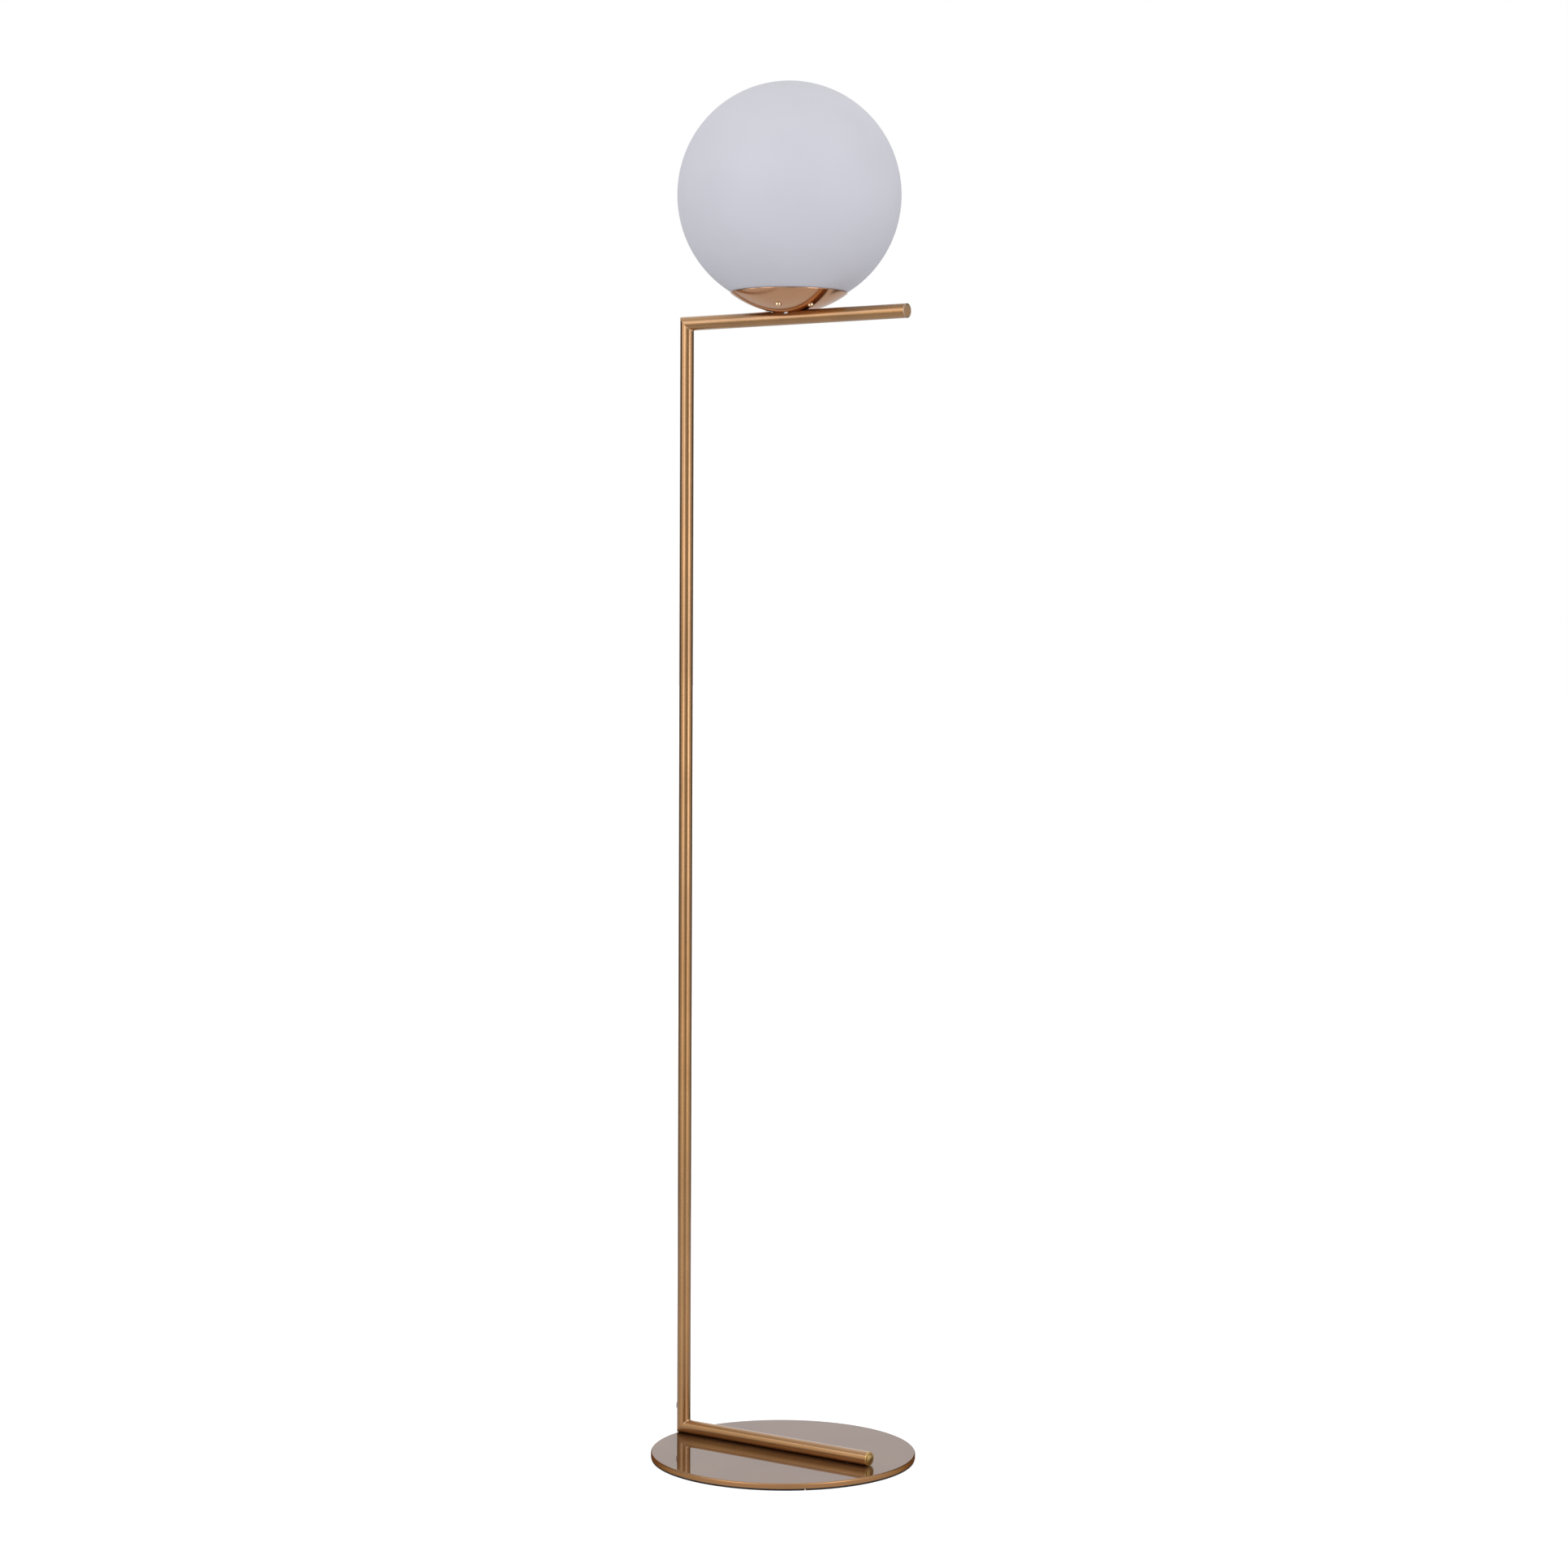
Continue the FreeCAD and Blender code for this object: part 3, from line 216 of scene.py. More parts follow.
class Group(Wires):
    """A node group in the making."""

    def __init__(self, kind: str, name: str, inputs: dict[str, object]) -> None:
        """Make the group with its named inputs.

        Args:
            kind: Blender's type name of the tree.
            name: The group's name.
            inputs: Input name to a default number, or to a kind of socket where it has none.
        """
        super().__init__(bpy.data.node_groups.new(name, kind))
        for label, value in inputs.items():
            number = NUMBERS.get(type(value))
            item = self.tree.interface.new_socket(label, in_out="INPUT",
                                                  socket_type=SOCKETS[number or value])
            if number:
                item.default_value = value
        self.entry = self.add("NodeGroupInput")

    def __getitem__(self, name: str) -> NodeSocket:
        """What comes in under a name."""
        return self.entry.outputs[name]

    def end(self, **outputs: NodeSocket) -> NodeTree:
        """Hand sockets out of the group.

        Args:
            **outputs: Output name to the socket that feeds it.

        Returns:
            The group's tree.
        """
        for label, socket in outputs.items():
            self.tree.interface.new_socket(label, in_out="OUTPUT",
                                           socket_type=SOCKETS[socket.type])
        self.add("NodeGroupOutput", outputs)
        return self.tree

    def relief(self, pattern: NodeSocket) -> NodeTree:
        """End a group of marks, which has a Depth.

        Args:
            pattern: The noise that the marks follow.

        Returns:
            The group's tree, with a mask and a normal.
        """
        mask = self.ramp(pattern, 0.0, 1.0, 0.3, 0.7)
        return self.end(Mask=mask, Normal=self.out("ShaderNodeBump", {
            "Strength": 1.0, "Distance": self["Depth"], "Height": mask}))


class Growth(Group):
    """A Geometry Nodes tree in the making, for what follows a rule."""

    def __init__(self, name: str, inputs: dict[str, object]) -> None:
        """Make the tree with its named inputs, a geometry before them and a material after."""
        super().__init__("GeometryNodeTree", name,
                         {"Geometry": "GEOMETRY", **inputs, "Material": "MATERIAL"})

    def dressed(self, geometry: NodeSocket) -> NodeTree:
        """End the tree: realize its instances and give the result its material.

        Args:
            geometry: What the tree made.

        Returns:
            The tree.
        """
        real = self.out("GeometryNodeRealizeInstances", {0: geometry})
        return self.end(Geometry=self.out("GeometryNodeSetMaterial", {
            "Geometry": real, "Material": self["Material"]}))

    def swept(self, curve: NodeSocket, profile: NodeSocket, **feeds: object) -> NodeSocket:
        """A profile swept along a curve; returns the geometry."""
        return self.out("GeometryNodeCurveToMesh", {"Curve": curve, "Profile Curve": profile,
                                                    **feeds})

    def shifted(self, geometry: NodeSocket, **feeds: object) -> NodeSocket:
        """A geometry with its points moved; returns the geometry."""
        return self.out("GeometryNodeSetPosition", {"Geometry": geometry, **feeds})

    def circle(self, points: object, radius: object) -> NodeSocket:
        """A round curve."""
        return self.out("GeometryNodeCurvePrimitiveCircle", {
            "Resolution": points, "Radius": radius})


class Paint(Wires):
    """The nodes of a material or a world, started afresh."""

    def __init__(self, owner: Material | World) -> None:
        """Clear the owner's nodes.

        Args:
            owner: The material or world.
        """
        owner.use_nodes = True
        owner.node_tree.nodes.clear()
        super().__init__(owner.node_tree)

    def where(self, system: str = "Object") -> NodeSocket:
        """The place or normal that is painted, in a system of coordinates."""
        return self.add("ShaderNodeTexCoord").outputs[system]

    def effect(self, tree: NodeTree, **feeds: object) -> NodeOutputs:
        """Use a shader group, fed by name with _ for a space; returns its outputs."""
        return self.add("ShaderNodeGroup", feeds, node_tree=tree).outputs

    def seen(self, shiny_share: float) -> NodeSocket:
        """Which rays see this directly.

        Args:
            shiny_share: How much of it glossy and transmission rays see.

        Returns:
            1 for camera rays, the share for shiny ones and 0 for the rest.
        """
        path = self.add("ShaderNodeLightPath").outputs
        shiny = self.calc("MAXIMUM", path["Is Glossy Ray"], path["Is Transmission Ray"])
        return self.calc("MAXIMUM", path["Is Camera Ray"],
                         self.calc("MULTIPLY", shiny, shiny_share))


# ---- Shader groups that several finishes share ----
@cache
def patina() -> NodeTree:
    """Soft uneven tone and gloss.

    Returns:
        A group from a vector, scale, two colours and two roughnesses to one of each.
    """
    group = Group("ShaderNodeTree", "Patina", {
        "Vector": "VECTOR", "Scale": 20.0, "Low Colour": "RGBA", "High Colour": "RGBA",
        "Low Roughness": 0.2, "High Roughness": 0.4})
    blotch = group.out("ShaderNodeTexNoise", {
        "Vector": group["Vector"], "Scale": group["Scale"], "Detail": 3.0, "Roughness": 0.55})
    tone = group.ramp(blotch, 0.0, 1.0, 0.32, 0.68)
    return group.end(
        Colour=group.mix(tone, group["Low Colour"], group["High Colour"]),
        Roughness=group.ramp(tone, group["High Roughness"], group["Low Roughness"]))


@cache
def brush_marks() -> NodeTree:
    """Fine marks; parallel ones where the vector comes in stretched along them.

    Returns:
        A group from a vector, scale and depth to a mask and a normal.
    """
    group = Group("ShaderNodeTree", "Brush Marks", {"Vector": "VECTOR", "Scale": 1.0,
                                                    "Depth": 1e-5})
    return group.relief(group.out("ShaderNodeTexNoise", {
        "Vector": group["Vector"], "Scale": group["Scale"], "Detail": 4.0, "Roughness": 0.7}))


@cache
def turned_rings() -> NodeTree:
    """Fine rings about the Z axis that climb a little, as a spinning tool leaves them.

    Returns:
        A group from a vector, scale, climb and depth to a mask and a normal.
    """
    group = Group("ShaderNodeTree", "Turned Rings", {
        "Vector": "VECTOR", "Scale": 2000.0, "Climb": 0.37, "Depth": 1e-6})
    calc = group.calc
    across, along, up = group.split(group["Vector"])
    radius = calc("SQRT", calc("ADD", calc("MULTIPLY", across, across),
                               calc("MULTIPLY", along, along)))
    wobble = calc("ADD", radius, calc("MULTIPLY", up, group["Climb"]))
    return group.relief(group.out("ShaderNodeTexNoise", {
        "W": calc("MULTIPLY", wobble, group["Scale"]), "Scale": 1.0, "Detail": 3.0},
        noise_dimensions="1D"))


@cache
def facing() -> NodeTree:
    """Which faces look along a given axis, either way.

    Returns:
        A group from a normal and an axis to a mask.
    """
    group = Group("ShaderNodeTree", "Facing", {"Normal": "VECTOR", "Axis": "VECTOR"})
    along = group.measure("DOT_PRODUCT", group["Normal"], group["Axis"])
    return group.end(Mask=group.ramp(group.calc("ABSOLUTE", along), 0.0, 1.0, 0.8, 0.97))


@cache
def specks() -> NodeTree:
    """Sparse small specks, such as dust.

    Returns:
        A group from a vector, scale and share of the surface to a mask.
    """
    group = Group("ShaderNodeTree", "Specks", {"Vector": "VECTOR", "Scale": 400.0, "Share": 0.1})
    away = group.out("ShaderNodeTexVoronoi", {"Vector": group["Vector"], "Scale": group["Scale"]})
    return group.end(Mask=group.ramp(away, 0.0, 1.0, group["Share"], 0.0))


# ---- Finishes ----
@dataclass(frozen=True)
class Finish:
    """What every finish has: a patina between two colours and two roughnesses."""

    name: str
    low: Colour
    high: Colour
    smooth: float = 0.3
    rough: float = 0.4
    blotch: float = 20.0
    metallic: float = 0.0

    @cache
    def material(self) -> Material:
        """The finish's material, made once.

        Returns:
            The material, whose Principled shader reads this finish's node groups.
        """
        made = bpy.data.materials.new(self.name)
        paint = Paint(made)
        base = paint.effect(
            patina(), Vector=paint.where(), Scale=self.blotch, Low_Colour=self.low,
            High_Colour=self.high, Low_Roughness=self.smooth, High_Roughness=self.rough)
        paint.add("ShaderNodeOutputMaterial", {"Surface": paint.out("ShaderNodeBsdfPrincipled", {
            "Base Color": base["Colour"], "Roughness": base["Roughness"],
            "Metallic": self.metallic, **self.detail(paint, base)})})
        return made

    def detail(self, paint: Paint, base: NodeOutputs) -> dict[str, object]:
        """What the shader is fed beyond the patina; a plain finish adds nothing."""
        return {}


@dataclass(frozen=True)
class BrushedBrass(Finish):
    """Antique brass tube, brushed round the tube under clear lacquer."""

    axis: str = "Z"
    fine: float = 2600.0
    coarse: float = 25.0
    tone: tuple[float, float] = (0.95, 1.04)
    depth: float = 2e-6
    spread: float = 0.85
    quarter_turn: float = 0.25
    cut_edge: Colour = (0.86, 0.74, 0.62)
    coat: float = 1.0
    coat_roughness: float = 0.12

    def detail(self, paint: Paint, base: NodeOutputs) -> dict[str, object]:
        """Brush marks in tone, gloss and relief, and the lacquer over them.

        Args:
            paint: The material's nodes.
            base: The patina's colour and roughness.

        Returns:
            The shader's feeds.
        """
        marks = paint.effect(brush_marks(), Depth=self.depth, Vector=paint.out(
            "ShaderNodeMapping", {"Vector": paint.where(), "Scale": [
                self.fine if self.axis == axis else self.coarse for axis in "XYZ"]}))
        colour = paint.out("ShaderNodeVectorMath", {
            0: base["Colour"], 1: paint.ramp(marks["Mask"], *self.tone)},
            operation="MULTIPLY")
        end = paint.effect(facing(), Normal=paint.where("Normal"),
                           Axis=[float(self.axis == axis) for axis in "XYZ"])
        return {
            "Base Color": paint.mix(end["Mask"], colour, self.cut_edge),
            "Normal": marks["Normal"],
            "Tangent": paint.out("ShaderNodeTangent", direction_type="RADIAL", axis=self.axis),
            "Anisotropic": self.spread, "Anisotropic Rotation": self.quarter_turn,
            "Coat Weight": self.coat, "Coat Roughness": self.coat_roughness}


@dataclass(frozen=True)
class TurnedMetal(Finish):
    """Metal turned or spun about an axis, with fine rings."""

    metallic: float = 1.0
    rings: float = 1800.0
    depth: float = 1.5e-6
    gloss: tuple[float, float] = (-0.02, 0.03)
    centre: tuple[float, float, float] = (0.0, 0.0, 0.0)
    turn: tuple[float, float, float] = (0.0, 0.0, 0.0)

    def along_arm(self, height: float) -> "TurnedMetal":
        """This finish on a piece that was turned about a level axis at a height."""
        return replace(self, centre=(0.0, 0.0, height), turn=(0.0, math.pi / 2, 0.0))

    def detail(self, paint: Paint, base: NodeOutputs) -> dict[str, object]:
        """Rings in gloss and relief.

        Args:
            paint: The material's nodes.
            base: The patina's colour and roughness.

        Returns:
            The shader's feeds.
        """
        local = paint.out("ShaderNodeMapping", {
            "Vector": paint.where(), "Location": self.centre, "Rotation": self.turn},
            vector_type="TEXTURE")
        rings = paint.effect(turned_rings(), Vector=local, Scale=self.rings, Depth=self.depth)
        return {"Roughness": paint.calc("ADD", base["Roughness"],
                                        paint.ramp(rings["Mask"], *self.gloss)),
                "Normal": rings["Normal"]}


@dataclass(frozen=True)
class Lacquer(Finish):
    """Metal under thick glossy lacquer, with a little dust in it."""

    metallic: float = 1.0
    edge_tint: Colour = (0.12, 0.05, 0.0)
    rim: Colour = (0.45, 0.235, 0.105)
    dust: float = 0.16
    dust_scale: float = 260.0
    dulling: float = 0.05
    coat_roughness: float = 0.025

    def detail(self, paint: Paint, base: NodeOutputs) -> dict[str, object]:
        """Dull specks of dust, the clear coat on top and the tint at a low angle.

        Args:
            paint: The material's nodes.
            base: The patina's colour and roughness.

        Returns:
            The shader's feeds.
        """
        dust = paint.effect(specks(), Vector=paint.where(), Scale=self.dust_scale, Share=self.dust)
        top = paint.effect(facing(), Normal=paint.where("Normal"), Axis=(0.0, 0.0, 1.0))["Mask"]
        return {
            "Roughness": paint.calc("MULTIPLY_ADD", dust["Mask"], self.dulling,
                                    base["Roughness"]),
            "Specular Tint": self.edge_tint,
            "Base Color": paint.mix(top, self.rim, base["Colour"]),
            "Coat Weight": top, "Coat Roughness": self.coat_roughness}


@dataclass(frozen=True)
class Grainy(Finish):
    """Foam, rubber, plastic or ceramic with a fine uneven surface."""

    grain: float = 900.0
    depth: float = 3e-5

    def detail(self, paint: Paint, base: NodeOutputs) -> dict[str, object]:
        """The grain's relief."""
        return {"Normal": paint.effect(brush_marks(), Vector=paint.where(), Scale=self.grain,
                                       Depth=self.depth)["Normal"]}


@dataclass(frozen=True)
class Glass(Grainy):
    """Blown glass that scatters, with a slow ripple, and a painted glow on the inside of a globe.
    """

    grain: float = 18.0
    let_through: float = 0.0
    centre: tuple[float, float, float] = (0.0, 0.0, 1.4275)
    inner_radius: float = 123.6 * MM

    def detail(self, paint: Paint, base: NodeOutputs) -> dict[str, object]:
        """The ripple, and a painted glow on the inner face that stands in for daylight coming
        through the glass.

        Args:
            paint: The material's nodes.
            base: The patina's colour and roughness.

        Returns:
            The shader's feeds.
        """
        feeds = super().detail(paint, base)
        # Painted light: the inner face glows in the glass's own colour, in place of light that
        # comes through the opal glass.
        if self.let_through:
            inside = paint.calc("LESS_THAN", paint.measure("DISTANCE", paint.where(), self.centre),
                                self.inner_radius)
            feeds["Emission Color"] = paint.mix(inside, BLACK, base["Colour"])
            feeds["Emission Strength"] = self.let_through
        return feeds


POLE_BRASS = BrushedBrass("brushed_brass_upright", (0.37, 0.185, 0.062), (0.46, 0.238, 0.085),
                          0.31, 0.38, 9.0, 1.0)
LEVEL_BRASS = replace(POLE_BRASS, name="brushed_brass_level", axis="X")
PLATE_LACQUER = Lacquer("lacquered_plate_brass", (0.335, 0.2, 0.096), (0.36, 0.216, 0.104),
                        0.34, 0.44, 9.0)
BOWL_BRASS = TurnedMetal("spun_bowl_brass", (0.525, 0.28, 0.152), (0.59, 0.322, 0.18),
                         0.13, 0.19, 14.0)
PLUG_BRASS = TurnedMetal("turned_plug_brass", (0.58, 0.37, 0.13), (0.68, 0.45, 0.18),
                         0.22, 0.32, 60.0)
END_BRASS = TurnedMetal("brushed_end_brass", (0.50, 0.31, 0.17), (0.60, 0.38, 0.22),
                        0.42, 0.52, 60.0)
SCREW_BRASS = TurnedMetal("domed_screw_brass", (0.62, 0.42, 0.25), (0.72, 0.52, 0.33),
                          0.12, 0.2, 80.0)
DARK_STEEL = TurnedMetal("blackened_steel", (0.045, 0.045, 0.048), (0.07, 0.07, 0.075),
                         0.35, 0.5, 90.0)
STEEL = TurnedMetal("zinc_plated_steel", (0.50, 0.50, 0.51), (0.63, 0.63, 0.62),
                    0.25, 0.38, 90.0)
NICKEL = TurnedMetal("nickel_plated_brass", (0.60, 0.58, 0.54), (0.72, 0.70, 0.66),
                     0.14, 0.26, 70.0)
PAD_FOAM = Grainy("black_pad_foam", (0.012, 0.012, 0.013), (0.022, 0.02, 0.02),
                  0.85, 0.95, 60.0, 0.0, 1300.0)
RUBBER = Grainy("grommet_rubber", (0.015, 0.015, 0.015), (0.03, 0.03, 0.03), 0.6, 0.75, 90.0)
SILICONE = Grainy("gasket_silicone", (0.66, 0.66, 0.64), (0.74, 0.74, 0.72),
                  0.35, 0.5, 40.0, 0.0, 500.0)
HOLDER_PLASTIC = Grainy("holder_plastic", (0.018, 0.018, 0.019), (0.03, 0.03, 0.031),
                        0.3, 0.42, 50.0, 0.0, 1800.0, 1e-5)
CERAMIC = Grainy("steatite", (0.70, 0.66, 0.58), (0.78, 0.75, 0.68), 0.55, 0.7, 60.0)
INSULATOR_GLASS = Grainy("black_glass_insulator", (0.01, 0.01, 0.012), (0.02, 0.02, 0.022),
                         0.05, 0.12, 90.0, 0.0, 300.0, 1e-5)
CABLE_SHEATH = Grainy("cable_sheath", (0.02, 0.02, 0.02), (0.035, 0.035, 0.035),
                      0.45, 0.6, 70.0)
OPAL_GLASS = Glass("satin_opal_glass", (0.535, 0.528, 0.568), (0.565, 0.558, 0.598),
                   0.62, 0.72, 7.0, let_through=0.4)
BULB_GLASS = Glass("frosted_envelope_glass", (0.80, 0.80, 0.78), (0.86, 0.86, 0.84),
                   0.35, 0.45, 25.0)


# ---- Sections and meshes ----
def arc(centre: tuple[float, float], radius: float, first: float, last: float,
        steps: int) -> Section:
    """Points on a circle's arc in a section.

    Args:
        centre: Radius and height of the circle's centre.
        radius: The circle's radius.
        first: Angle of the first point in degrees, from the radial direction towards up.
        last: Angle of the last point in degrees.
        steps: Number of equal steps between them.

    Returns:
        The points, both ends included.
    """
    angles = [math.radians(first + (last - first) * i / steps) for i in range(steps + 1)]
    return [(centre[0] + radius * math.cos(a), centre[1] + radius * math.sin(a)) for a in angles]


def softened(corners: Sequence[tuple], steps: int = 4) -> Section:
    """Round the corners of a section.

    Args:
        corners: Radius and height of each point, and a third value where it is rounded.
        steps: Number of steps of each rounded corner.

    Returns:
        The section's points.
    """
    points: Section = []
    for index, corner in enumerate(corners):
        here = Vector(corner[:2])
        back = Vector(corners[index - 1][:2]) - here
        ahead = Vector(corners[(index + 1) % len(corners)][:2]) - here
        if len(corner) < 3 or min(back.length, ahead.length) < MERGE_DISTANCE:
            points.append(tuple(here))
            continue
        back.normalize()
        ahead.normalize()
        half = back.angle(ahead) / 2
        reach = corner[2] / math.tan(half)
        middle = here + (back + ahead).normalized() * (corner[2] / math.sin(half))
        start = here + back * reach - middle
        turn = start.angle_signed(here + ahead * reach - middle)
        for step in range(steps + 1):
            spoke = start.copy()
            spoke.rotate(Matrix.Rotation(-turn * step / steps, 2))
            points.append(tuple(middle + spoke))
    return points


def hoop(radius: float, height: float, around: int,
         flats: float) -> list[tuple[float, float, float]]:
    """Evenly spaced points round the Z axis.

    Args:
        radius: Their distance from the axis.
        height: Their height.
        around: Their number.
        flats: Width across flats of the hexagon that cuts them off, or infinite. Cut points
            start in the middle of a flat.

    Returns:
        The points.
    """
    points, sixth = [], math.pi / 3
    for i in range(around):
        angle = math.tau * i / around + (sixth / 2 if flats < math.inf else 0.0)
        reach = min(flats / 2 / math.cos(angle % sixth - sixth / 2), radius)
        points.append((reach * math.cos(angle), reach * math.sin(angle), height))
    return points


def revolved(section: Section, around: int = FINE_TURN, closed: bool = True,
             flats: float = math.inf) -> Mesh:
    """Turn a section about the Z axis.

    Args:
        section: Radius and height of each point; a point on the axis becomes a pole.
        around: Number of steps round the axis.
        closed: Whether the last point joins the first one; else both lie on the axis.
        flats: Width across flats, where the result is cut to a hexagon.

    Returns:
        A closed mesh.
    """
    form = bmesh.new()
    rings = []
    for radius, height in section:
        if radius < MERGE_DISTANCE:
            rings.append([form.verts.new((0.0, 0.0, height))] * around)
        else:
            rings.append([form.verts.new(spot) for spot in hoop(radius, height, around, flats)])
    for lower, upper in list(zip(rings, rings[1:])) + ([(rings[-1], rings[0])] if closed else []):
        for i in range(around):
            j = (i + 1) % around
            corners = list(dict.fromkeys((lower[i], lower[j], upper[j], upper[i])))
            if len(corners) > 2:
                form.faces.new(corners)
    return sealed(form)


def sealed(form: bmesh.types.BMesh, keep_sides: bool = False) -> Mesh:
    """Merge doubles, point the faces outwards and shade the mesh.

    Args:
        form: The mesh being built; it is freed here.
        keep_sides: Whether the faces already point the right way.

    Returns:
        The finished mesh.
    """
    bmesh.ops.remove_doubles(form, verts=form.verts, dist=MERGE_DISTANCE)
    if not keep_sides:
        bmesh.ops.recalc_face_normals(form, faces=form.faces)
    mesh = bpy.data.meshes.new("made")
    form.to_mesh(mesh)
    form.free()
    return shaded(mesh)


def shaded(mesh: Mesh) -> Mesh:
    """Shade a mesh smooth between its sharp edges.

    Args:
        mesh: The mesh.

    Returns:
        The same mesh.
    """
    mesh.shade_smooth()
    mesh.set_sharp_from_angle(angle=SHARP_ANGLE)
    return mesh


def linked(name: str, data: bpy.types.ID) -> Object:
    """Make an object and put it into the scene.

    Args:
        name: Its name.
        data: Its mesh, camera or lamp.

    Returns:
        The object.
    """
    made = bpy.data.objects.new(name, data)
    bpy.context.scene.collection.objects.link(made)
    return made


def applied(mesh: Mesh, kind: str, inputs: dict | None = None, **settings: object) -> Mesh:
    """Run one modifier on a mesh.

    Args:
        mesh: The mesh.
        kind: Blender's type name of the modifier.
        inputs: Values of a Geometry Nodes modifier's inputs, by identifier.
        **settings: Properties of the modifier.

    Returns:
        The modifier's result as a new mesh.
    """
    carrier = linked("carrier", mesh)
    modifier = carrier.modifiers.new("Step", kind)
    for name, value in settings.items():
        setattr(modifier, name, value)
    for name, value in (inputs or {}).items():
        modifier[name] = value
    depsgraph = bpy.context.evaluated_depsgraph_get()
    made = bpy.data.meshes.new_from_object(carrier.evaluated_get(depsgraph))
    bpy.data.objects.remove(carrier)
    return made


def carved(mesh: Mesh, cutter: Mesh) -> Mesh:
    """Cut one mesh out of another.

    Args:
        mesh: The mesh that is cut.
        cutter: The mesh that cuts.

    Returns:
        A new mesh.
    """
    tool = linked("tool", cutter)
    made = applied(mesh, "BOOLEAN", object=tool, operation="DIFFERENCE", solver="EXACT")
    bpy.data.objects.remove(tool)
    return shaded(made)


def moved(mesh: Mesh, lie: Lie = Lie.UPRIGHT, x: float = 0.0, z: float = 0.0) -> Mesh:
    """Turn a mesh as it lies in the lamp and put its origin at a point; returns the mesh."""
    mesh.transform(Matrix.Translation((x, 0.0, z)) @ lie.value)
    return mesh


def extruded(outline: Section, low: float, high: float, bevel: float) -> Mesh:
    """Pull a flat outline into a solid with broken edges.

    Args:
        outline: First and second coordinate of the outline's points.
        low: Where the solid starts on its own Z axis.
        high: Where it ends.
        bevel: Width of its broken edges.

    Returns:
        The solid's mesh.
    """
    form = bmesh.new()
    face = form.faces.new([form.verts.new((a, b, low)) for a, b in outline])
    pulled = bmesh.ops.extrude_face_region(form, geom=[face])
    raised = [item for item in pulled["geom"] if isinstance(item, bmesh.types.BMVert)]
    bmesh.ops.translate(form, verts=raised, vec=(0.0, 0.0, high - low))
    bmesh.ops.recalc_face_normals(form, faces=form.faces)
    rims = [edge for edge in form.edges
            if abs(edge.verts[0].co.z - edge.verts[1].co.z) < MERGE_DISTANCE]
    bmesh.ops.bevel(form, geom=rims, offset=bevel, segments=2, profile=0.5, affect="EDGES")
    return sealed(form)


def hex_nut(flats: float, height: float, bore: float) -> Mesh:
    """A hexagonal nut with chamfered corners, standing on its own origin.

    Args:
        flats: Width across flats.
        height: Height.
        bore: Radius of its hole.

    Returns:
        The nut's mesh.
    """
    chamfer, slope = flats * 0.07, 1.75
    levels = [0.0, chamfer * 0.5, chamfer, height - chamfer, height - chamfer * 0.5, height]
    cones = [(flats / math.sqrt(3) - max(0.0, chamfer - z, z - height + chamfer) * slope, z)
             for z in levels]
    return revolved([*cones, (bore, height), (bore, 0.0)], SCREW_TURN, flats=flats)


def shell(lip: Section, outside: Section, inside: Section, around: int = FINE_TURN) -> Mesh:
    """A blown vessel: one closed surface from the inner pole over the lip to the outer pole.

    Args:
        lip: Section of the lip, from inside to outside.
        outside: Section of the outer face from the lip to its pole.
        inside: Section of the inner face from its pole to the lip.
        around: Number of steps round the axis.

    Returns:
        The vessel's mesh.
    """
    section = [(0.0, inside[0][1]), *inside[1:], *lip, *outside[:-1], (0.0, outside[-1][1])]
    return revolved(section, around, closed=False)


def thread_section(inner: float, outer: float, low: float, high: float) -> Section:
    """Section of a thin shell with 12 rings for each turn of a thread.

    Args:
        inner: Inner radius.
        outer: Outer radius.
        low: Height of the lower edge.
        high: Height of the upper edge.

    Returns:
        The closed section.
    """
    steps = max(8, round((high - low) / THREAD_PITCH * 12))
    heights = [low + (high - low) * i / steps for i in range(steps + 1)]
    return [(outer, z) for z in heights] + [(inner, z) for z in reversed(heights)]


# ---- Geometry Nodes ----
@cache
def mitred_tube() -> NodeTree:
    """A tube along Z from its origin, each end square or mitred across X.

    Returns:
        The tree.
    """
    tree = Growth("Mitred Tube", {
        "Length": 1.0, "Radius": 0.01, "Wall": 0.001, "Edge": 0.0001, "Start Mitre": 0.0,
        "End Mitre": 0.0, "Around": 96})
    calc, wall, length = tree.calc, tree["Wall"], tree["Length"]
    hoop = tree.circle(tree["Around"], calc("SUBTRACT", tree["Radius"],
                                            calc("MULTIPLY", wall, 0.5)))
    side = tree.out("GeometryNodeCurvePrimitiveQuadrilateral", {"Width": wall, "Height": length})
    soft = tree.out("GeometryNodeFilletCurve", {"Curve": side, "Count": 3, "Radius": tree["Edge"]},
                    mode="POLY")
    across, _, up = tree.split(tree.out("GeometryNodeInputPosition"))
    slope = tree.ramp(calc("GREATER_THAN", up, 0.0), tree["Start Mitre"], tree["End Mitre"])
    shift = calc("MULTIPLY_ADD", across, slope, calc("MULTIPLY", length, 0.5))
    return tree.dressed(tree.shifted(tree.swept(hoop, soft), Offset=tree.vector(z=shift)))


